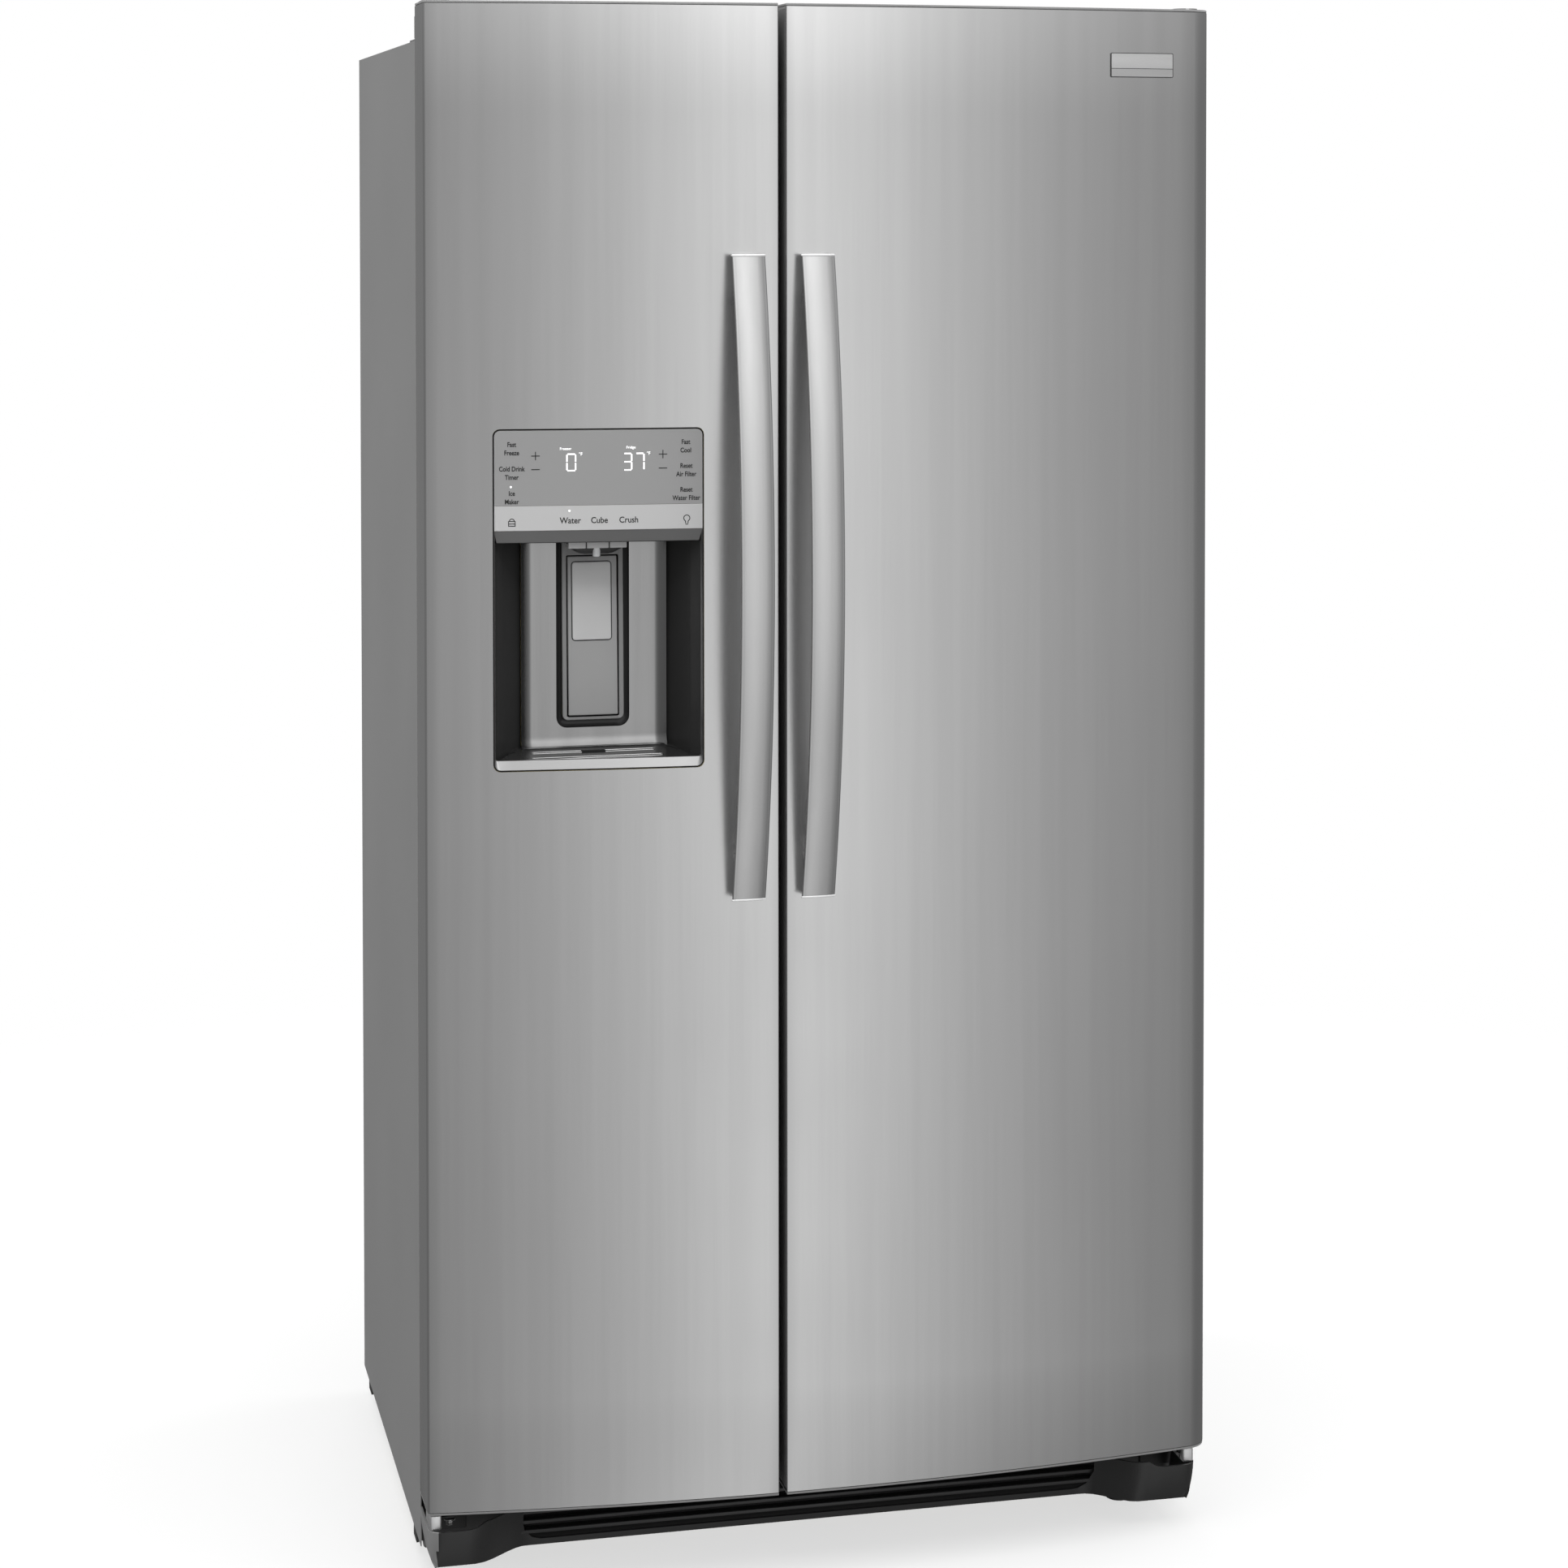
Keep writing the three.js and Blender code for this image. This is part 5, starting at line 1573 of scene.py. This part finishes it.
def addShelf(name, node):
    low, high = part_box(node)
    z, side = low.z + shelf["under"], shelf["side"]
    top = z + shelf["thick"]
    start = (low.x + side - 2 * mm, low.y + shelf["front"] - 2 * mm, z + shelf["pane"][0])
    end = (high.x - side + 2 * mm, high.y - side, z + shelf["pane"][1])
    addPiece(name + "Pane", roundedBlock(start, end, 0.6 * mm), shelfGlass, "cabinet", [node])
    parts = [
        roundedBlock((low.x, low.y, low.z), (high.x, low.y + shelf["front"], high.z), 4 * mm, 4),
        roundedBlock((low.x, low.y + 8 * mm, z), (low.x + side, high.y, top), 1.2 * mm),
        roundedBlock((high.x - side, low.y + 8 * mm, z), (high.x, high.y, top), 1.2 * mm),
        roundedBlock((low.x, high.y - shelf["back"], z), (high.x, high.y, top), 1.2 * mm),
    ]
    addPiece(name + "Frame", parts, trimGrey, "cabinet", [node])


addShelf("freezerShelf", "freezer_shelf")
addShelf("fridgeShelfUpper", "fridge_shelf_upper")
addShelf("fridgeShelfLower", "fridge_shelf_lower")


# a round bar bent along a path
def tube(points, radius, sides=10):
    rings = []
    for i, point in enumerate(points):
        ahead = points[min(i + 1, len(points) - 1)] - points[max(i - 1, 0)]
        turn = ahead.to_track_quat("Z", "Y")
        spokes = [Vector((radius * cos(a), radius * sin(a), 0)) for a in span(0, 2 * pi, sides)[:-1]]
        rings.append([point + turn @ spoke for spoke in spokes])
    return loft(rings)


iceMaker = {"head": 18 * mm, "headDepth": 80 * mm, "mouldSet": 22 * mm, "mouldTall": 60 * mm, "arm": 1.6 * mm}


def addIceMaker():
    low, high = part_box("ice_maker")
    inner = high.x - iceMaker["head"]
    mould = (low.x, low.y + iceMaker["mouldSet"], high.z - iceMaker["mouldTall"])
    parts = [
        roundedBlock(mould, (inner, high.y, high.z), 6 * mm),
        roundedBlock((inner, low.y, low.z), (high.x, low.y + iceMaker["headDepth"], high.z), 5 * mm),
    ]
    rings = []
    steps = ((high.z - 58 * mm, 12), (low.z + 36 * mm, 22), (low.z + 21 * mm, 44), (low.z + 20 * mm, 50))
    for z, inset in steps:
        i = inset * mm
        outline = roundedRect(low.x + i, inner - i, low.y + 40 * mm, high.y - 20 * mm, 8 * mm, 5)
        rings.append([Vector((x, y, z)) for x, y in outline])
    parts.append(loft(rings))
    addPiece("iceMaker", parts, whiteLiner, "cabinet", ["ice_maker"])
    # the wire arm: from the head down, along the front and up again
    start = Vector((high.x - 9 * mm, low.y + 8 * mm, low.z + 30 * mm))
    along = start.x - low.x
    bends = ((0, 0, 0), (0, -4 * mm, -6 * mm), (-7 * mm, -5 * mm, -22 * mm), (-51 * mm, -5 * mm, -28 * mm),
             (60 * mm - along, -5 * mm, -28 * mm), (30 * mm - along, -4 * mm, -14 * mm),
             (24 * mm - along, 20 * mm, 14 * mm))
    arm = tube([start + Vector(bend) for bend in bends], iceMaker["arm"])
    addPiece("iceMakerArm", arm, platedSteel, "cabinet", degrees=60)


iceBin = {
    "front": 5 * mm,
    "boxSet": (4 * mm, 6 * mm),      # the clear box starts this far behind and above the front
    "boxTop": 30 * mm,
    "gripEnds": 0.08,
    "gripProud": 3 * mm,
}


def addIceBin():
    low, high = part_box("ice_bin")
    behind, above = iceBin["boxSet"]
    boxLow = Vector((low.x, low.y + behind, low.z + above))
    box = openBox(boxLow, Vector((high.x, high.y, high.z - iceBin["boxTop"])))
    addPiece("iceBin", box, clearBin, "cabinet", ["ice_bin"], 50)
    face = roundedBlock((low.x, low.y, low.z), (high.x, low.y + iceBin["front"], high.z), 2.4 * mm)
    grip = roundedBlock((low.x + iceBin["gripEnds"], low.y - iceBin["gripProud"], high.z - 34 * mm),
                        (high.x - iceBin["gripEnds"], low.y + 2 * mm, high.z - 24 * mm), 2 * mm)
    addPiece("iceBinFront", [face, grip], whiteLiner, "cabinet", ["ice_bin"])


lamp = {"corner": 14 * mm, "ribs": 15, "ribEnds": 24 * mm, "ribWide": 3 * mm, "ribSet": 20 * mm}


def addLightHousing():
    low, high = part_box("light_housing")
    rings = []
    steps = ((0, high.z), (0, high.z - 8 * mm), (3, low.z + 6 * mm), (6, low.z + 1 * mm),
             (10, low.z), (16, low.z))
    for inset, z in steps:
        i = inset * mm
        outline = roundedRect(low.x + i, high.x - i, low.y + i, high.y - i, lamp["corner"], 5)
        rings.append([Vector((x, y, z)) for x, y in outline])
    addPiece("lightHousing", loft(rings), lampCover, "cabinet", ["light_housing"], 50)
    ribs = []
    half, clear = lamp["ribWide"] / 2, lamp["ribSet"]
    for x in span(low.x + lamp["ribEnds"], high.x - lamp["ribEnds"], lamp["ribs"] - 1):
        start, end = (x - half, low.y + clear, low.z - 0.8 * mm), (x + half, high.y - clear, low.z + 1 * mm)
        ribs.append(roundedBlock(start, end, 0.7 * mm, 2))
    addPiece("lightHousingRibs", ribs, lampCover, "cabinet")


addIceMaker()
addIceBin()
addLightHousing()
print("compartments ready")

# back and base

screw = {"radius": 4.4 * mm, "height": 1.6 * mm}
back = {
    "ribHalf": 14 * mm, "ribProud": 2.6 * mm, "ribSides": 0.13, "ribEnds": 0.12,
    "crossHalf": 10 * mm, "crossSides": 0.08, "crossEnds": 60 * mm,
    "screwSide": 9 * mm,
}


# a dome-headed screw; facing is the direction its head points to
def screwHead(place, facing):
    turn = Vector(facing).to_track_quat("Z", "Y").to_matrix().to_4x4()
    tall = screw["height"]
    profile = ((0, 1.35), (0.3 * mm, 1.35), (0.35 * mm, 1.0), (tall * 0.7, 0.86), (tall, 0.5))
    rings = [circleRing(0, 0, height, screw["radius"] * share, 20) for height, share in profile]
    return moved(loft(rings), Matrix.Translation(Vector(place)) @ turn)


def addBack():
    low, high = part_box("rear_panel")
    parts = [roundedBlock(low, high, 0.3 * mm, 2)]
    under, proud = high.y - 0.6 * mm, high.y + back["ribProud"]
    half = back["ribHalf"]
    for x in span(low.x + back["ribSides"], high.x - back["ribSides"], 5):
        start, end = (x - half, under, low.z + back["ribEnds"]), (x + half, proud, high.z - back["ribEnds"])
        parts.append(roundedBlock(start, end, 2.4 * mm))
    half = back["crossHalf"]
    for z in (low.z + back["crossEnds"], high.z - back["crossEnds"]):
        start = (low.x + back["crossSides"], under, z - half)
        end = (high.x - back["crossSides"], proud, z + half)
        parts.append(roundedBlock(start, end, 2.4 * mm))
    addPiece("rearSheet", parts, backPaint, "cabinet", ["rear_panel"])

    places = []
    for z in span(low.z + 30 * mm, high.z - 22 * mm, 5):
        places += [(x, high.y, z) for x in (low.x + back["screwSide"], high.x - back["screwSide"])]
    first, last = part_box("machine_cover")
    for x in span(first.x + 14 * mm, last.x - 14 * mm, 5):
        places += [(x, low.y + 2 * mm, z) for z in (first.z + 10 * mm, last.z - 9 * mm)]
    screws = [screwHead(place, (0, 1, 0)) for place in places]
    addPiece("backScrews", screws, platedSteel, "cabinet")


louvre = {"columns": (-130, 60, 250), "rows": 6, "firstRow": 80, "rowStep": 30, "wide": 150}


# small tilted hoods over the slots of the machine cover
def addCoverLouvres():
    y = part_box("machine_cover")[0].y / mm + 7
    # how far behind the cover and how high each corner of a hood is
    section = ((0, 14), (3, 9), (4, 4), (3, 4), (2, 8))
    swell = {0: 0.2, 3: 0.8, 6: 1.0}      # the ends of a hood taper
    hoods = []
    for x in louvre["columns"]:
        for row in range(louvre["rows"]):
            z = louvre["firstRow"] + row * louvre["rowStep"]
            rings = []
            for dx in (0, 3, 6, louvre["wide"] - 6, louvre["wide"] - 3, louvre["wide"]):
                lift = swell[min(dx, louvre["wide"] - dx)]
                corners = [(y + dy * lift, z + dz) for dy, dz in section] + [(y - 0.5, z + 13)]
                rings.append([Vector((x + dx, a, b)) * mm for a, b in corners])
            hoods.append(loft(rings))
    addPiece("machineCoverLouvres", hoods, frameSteel, "cabinet")


compressor = {
    # height above the base and radius, up the shell and over its welded seam
    "shell": ((12, 30), (12, 66), (20, 80), (40, 87), (74, 89), (76, 90), (80, 90),
              (82, 89), (110, 86), (140, 76), (160, 56), (170, 30), (172, 8)),
    "mount": ((4, 11), (6, 12), (11, 12), (13, 8), (16, 8)),
    "mountSpread": (80 * mm, 56 * mm),
    "plateHalf": 70 * mm,
    "plateThick": 4 * mm,
    "pipe": 3.2 * mm,
}


# a rounded shell on a base plate with rubber feet, its terminal box and the discharge pipe
def addCompressor():
    low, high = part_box("compressor")
    cx, cy = (low.x + high.x) / 2, (low.y + high.y) / 2

    def turned(x, y, profile, steps=24):
        return loft([circleRing(x, y, low.z + z * mm, r * mm, steps) for z, r in profile])

    half, plateTop = compressor["plateHalf"], low.z + compressor["plateThick"]
    parts = [
        turned(cx, cy, compressor["shell"], 40),
        roundedBlock((low.x, cy - half, low.z), (high.x, cy + half, plateTop), 1 * mm),
    ]
    spreadX, spreadY = compressor["mountSpread"]
    for dx in (-spreadX, spreadX):
        parts += [turned(cx + dx, cy + dy, compressor["mount"]) for dy in (-spreadY, spreadY)]
    parts.append(roundedBlock((cx + 60 * mm, cy - 34 * mm, low.z + 70 * mm),
                              (cx + 95 * mm, cy + 34 * mm, low.z + 130 * mm), 4 * mm))
    addPiece("compressorShell", parts, blackMetalAndPaintedShade, "cabinet", ["compressor"])
    over, base = high.z, low.z
    bends = ((-40, 0, over - 20 * mm), (-44, 0, over + 6 * mm), (-60, -6, over + 10 * mm),
             (-84, -20, over - 10 * mm), (-92, -24, base + 90 * mm), (-92, -40, base + 60 * mm))
    pipe = tube([Vector((cx + dx * mm, cy + dy * mm, z)) for dx, dy, z in bends], compressor["pipe"])
    addPiece("compressorPipe", pipe, pipeSteel, "cabinet", degrees=60)


addBack()
addCoverLouvres()
addCompressor()

foot = {"padTop": 8 * mm, "threadStart": 16 * mm, "pitch": 1.5 * mm, "root": 5.2 * mm, "crest": 6 * mm}


# a round pad, a nut to turn it by and a threaded stem
def addFoot(name):
    node = "levelling_foot_" + name.removeprefix("levellingFoot").lower()
    low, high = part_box(node)
    cx, cy = (low.x + high.x) / 2, (low.y + high.y) / 2
    r = (high.x - low.x) / 2
    pad = [(0, r - 1.5 * mm), (1 * mm, r), (4 * mm, r), (5.5 * mm, r - 2 * mm), (foot["padTop"], 8 * mm)]
    nut = [(8, 9), (8.6, 10), (15, 10), (15.6, 9)]
    thread = []
    start, pitch = foot["threadStart"], foot["pitch"]
    for i in range(int((high.z - low.z - start) / pitch)):
        z = low.z + start + i * pitch
        thread.append(circleRing(cx, cy, z, foot["root"], 16))
        thread.append(circleRing(cx, cy, z + pitch / 2, foot["crest"], 16))
    parts = [
        loft([circleRing(cx, cy, low.z + z, radius, 28) for z, radius in pad]),
        loft([hexRing(cx, cy, low.z + z * mm, radius * mm) for z, radius in nut]),
        loft(thread),
    ]
    addPiece(name, parts, blackMetalAndPaintedShade, node, [node])


addFoot("levellingFootLeft")
addFoot("levellingFootRight")

roller = {"spokes": 5, "hub": 8 * mm, "bore": 4.8 * mm, "sides": 36}


# tyre with a shallow tread groove, and a hub with spokes
def addRoller(name, node):
    low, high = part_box(node)
    centre = (low + high) / 2
    r, half = (high.z - low.z) / 2, (high.x - low.x) / 2
    hub, bore = roller["hub"], roller["bore"]

    def ring(x, radius):
        angles = span(0, 2 * pi, roller["sides"])[:-1]
        return [centre + Vector((x, radius * cos(a), radius * sin(a))) for a in angles]

    tyre = [(-half + 1 * mm, r * 0.72), (-half, r * 0.8), (-half, r - 1.5 * mm), (-half + 1.5 * mm, r),
            (-1 * mm, r), (-0.6 * mm, r - 0.8 * mm), (0.6 * mm, r - 0.8 * mm), (1 * mm, r),
            (half - 1.5 * mm, r), (half, r - 1.5 * mm), (half, r * 0.8), (half - 1 * mm, r * 0.72)]
    web = [(half - 3 * mm, r * 0.68), (half - 3 * mm, hub + 1 * mm),
           (half - 0.5 * mm, hub), (half - 0.5 * mm, bore)]
    back = [(-x, radius) for x, radius in reversed(web)]
    parts = [loft([ring(x, radius) for x, radius in tyre + web + back + tyre[:1]], caps=False)]
    for i in range(roller["spokes"]):
        reach = half - 1.5 * mm
        spoke = roundedBlock((-reach, hub, -1.2 * mm), (reach, r * 0.7, 1.2 * mm), 0.5 * mm, 2)
        turn = Matrix.Rotation(i * 2 * pi / roller["spokes"], 4, "X")
        parts.append(moved(spoke, Matrix.Translation(centre) @ turn))
    addPiece(name, parts, wheelPlastic, node, [node])


for end in ("front", "rear"):
    for side in ("left", "right"):
        addRoller(end + side.capitalize() + "Roller", "roller_" + end + "_" + side)
print("back and base ready")

# edges of the frame parts that keep their modelled shape, with bevel widths in millimetres

softened = {
    "cabinet_wrapper": 0.5, "base_frame": 0.6, "machine_cover": 0.3,
    "evaporator_cover": 0.8, "hinge_cover_left": 1.6, "hinge_cover_right": 1.6, "top_hinge_left": 0.4,
    "top_hinge_right": 0.4, "water_inlet_valve": 1.5, "ice_auger": 0.8, "condenser_fan": 0.4,
    "evaporator_fan": 0.3, "dispenser_chute_flap": 0.5,
}
for nodeName, width in softened.items():
    bevelled(nodes[nodeName], width * mm)
print("edges softened")

# studio

studio = {
    "floorTone": 0.86,
    "floorRadius": (1.4, 2.6),      # where the floor starts to fade into the room, and where it ends
    "floorCover": 0.35,
    "ambient": 0.21,
    "keyBearing": 10.4,      # degrees to the right of straight ahead of the doors
    "keyGlow": 1.06,
    "fadeLeft": 11,
    "fadeRight": 12,
    "groundTone": 0.76,
    "groundFade": (-0.38, -0.12),
    "skyTone": 1.55,
    "skyFade": (0.05, 0.5),
    "topPlace": (0, -0.8, 4.2),
    "topSize": (5, 5),
    "topPower": 210,
    "sidePower": 80,
}


def addStudio():
    bm = bmesh.new()
    bmesh.ops.create_circle(bm, cap_ends=True, segments=96, radius=studio["floorRadius"][1])
    mesh = meshOf(bm)
    floorMaterial, tree, shader = newMaterial("studioFloor", grey(studio["floorTone"]), 0.7)
    cloud = stretchedNoise(tree, (0.8, 0.8, 0.8), 3)
    floorTones = shades(tree, cloud, grey(studio["floorTone"] - 0.01), grey(studio["floorTone"]))
    tree.links.new(floorTones, shader.inputs["Base Color"])
    place = tree.nodes.new("ShaderNodeTexCoord")
    length = tree.nodes.new("ShaderNodeVectorMath")
    length.operation = "LENGTH"
    tree.links.new(place.outputs["Object"], length.inputs[0])
    cover = ranged(tree, length.outputs["Value"], studio["floorCover"], 0, *studio["floorRadius"])
    tree.links.new(cover, shader.inputs["Alpha"])
    mesh.materials.append(floorMaterial)
    floor = bpy.data.objects.new("studioFloor", mesh)
    floor.location.z = -0.0005
    floor.visible_glossy = False
    floor.visible_shadow = False
    scene.collection.objects.link(floor)

    addWorld()
    addLamp("topLight", studio["topPlace"], (0, 0, 0), studio["topSize"], studio["topPower"])
    for name, place in (("leftLight", (-4, 0.6, 2)), ("rightLight", (4, 0.6, 2)), ("backLight", (0, 5, 2.2))):
        addLamp(name, place, (0, 0, 0.9), (3, 3), studio["sidePower"])
    scene.view_settings.view_transform = "Standard"


def addLamp(name, place, aim, size, power):
    lamp = bpy.data.lights.new(name, "AREA")
    lamp.shape = "RECTANGLE"
    lamp.size, lamp.size_y = size
    lamp.energy = power
    light = bpy.data.objects.new(name, lamp)
    light.location = place
    light.rotation_euler = (Vector(aim) - light.location).to_track_quat("-Z", "Y").to_euler()
    light.visible_glossy = False
    scene.collection.objects.link(light)


# the room is brightest in one direction and fades to both sides and towards the ground
def addWorld():
    world = bpy.data.worlds.new("studioWorld")
    scene.world = world
    world.use_nodes = True
    tree = world.node_tree
    background = tree.nodes["Background"]
    background.inputs["Color"].default_value = (1, 1, 1, 1)

    def math(operation, first, second=None):
        node = tree.nodes.new("ShaderNodeMath")
        node.operation = operation
        for i, value in enumerate((first, second)):
            if isinstance(value, (int, float)):
                node.inputs[i].default_value = value
            elif value is not None:
                tree.links.new(value, node.inputs[i])
        return node.outputs[0]

    place = tree.nodes.new("ShaderNodeTexCoord")
    split = tree.nodes.new("ShaderNodeSeparateXYZ")
    tree.links.new(place.outputs["Generated"], split.inputs["Vector"])
    bearing = math("ARCTAN2", split.outputs["X"], math("MULTIPLY", split.outputs["Y"], -1))
    away = math("ABSOLUTE", math("SUBTRACT", bearing, radians(studio["keyBearing"])))
    side = math("GREATER_THAN", bearing, radians(studio["keyBearing"]))
    wider = radians(studio["fadeRight"] - studio["fadeLeft"])
    fade = math("ADD", radians(studio["fadeLeft"]), math("MULTIPLY", side, wider))
    glow = math("EXPONENT", math("DIVIDE", math("MULTIPLY", away, -1), fade))
    around = math("ADD", math("MULTIPLY", glow, studio["keyGlow"]), studio["ambient"])
    low, high = studio["groundFade"]
    ground = ranged(tree, split.outputs["Z"], studio["groundTone"], 1.0, low, high)
    low, high = studio["skyFade"]
    sky = ranged(tree, split.outputs["Z"], 1.0, studio["skyTone"], low, high)
    shown = math("MULTIPLY", math("MULTIPLY", around, ground), sky)
    path = tree.nodes.new("ShaderNodeLightPath")
    mix = tree.nodes.new("ShaderNodeMix")
    tree.links.new(path.outputs["Is Camera Ray"], mix.inputs["Factor"])
    tree.links.new(shown, mix.inputs["A"])
    mix.inputs["B"].default_value = 1.0
    tree.links.new(mix.outputs["Result"], background.inputs["Strength"])


addStudio()
print("studio ready")

# finishes of the modelled frame parts

cadFinish = {
    sidePaint: ("cabinet_wrapper", "front_frame"),
    foamFill: ("cabinet_foam", "freezer_door_foam", "fridge_door_foam"),
    whiteLiner: ("evaporator_cover", "water_inlet_valve"),
    # the base frame is black, which also serves as painted shade behind the top edge of the toe grille
    blackMetalAndPaintedShade: ("base_frame",),
    frameSteel: ("machine_cover",),
    platedSteel: ("top_hinge_left", "top_hinge_right", "ice_auger"),
    capPlastic: ("hinge_cover_left", "hinge_cover_right"),
    nichePaintedShade: ("dispenser_chute_flap",),
    charcoal: ("condenser_fan", "evaporator_fan"),
}
for finish, names in cadFinish.items():
    for nodeName in names:
        slots = nodes[nodeName].data.materials
        slots.clear()
        slots.append(finish)
print("finishes ready")
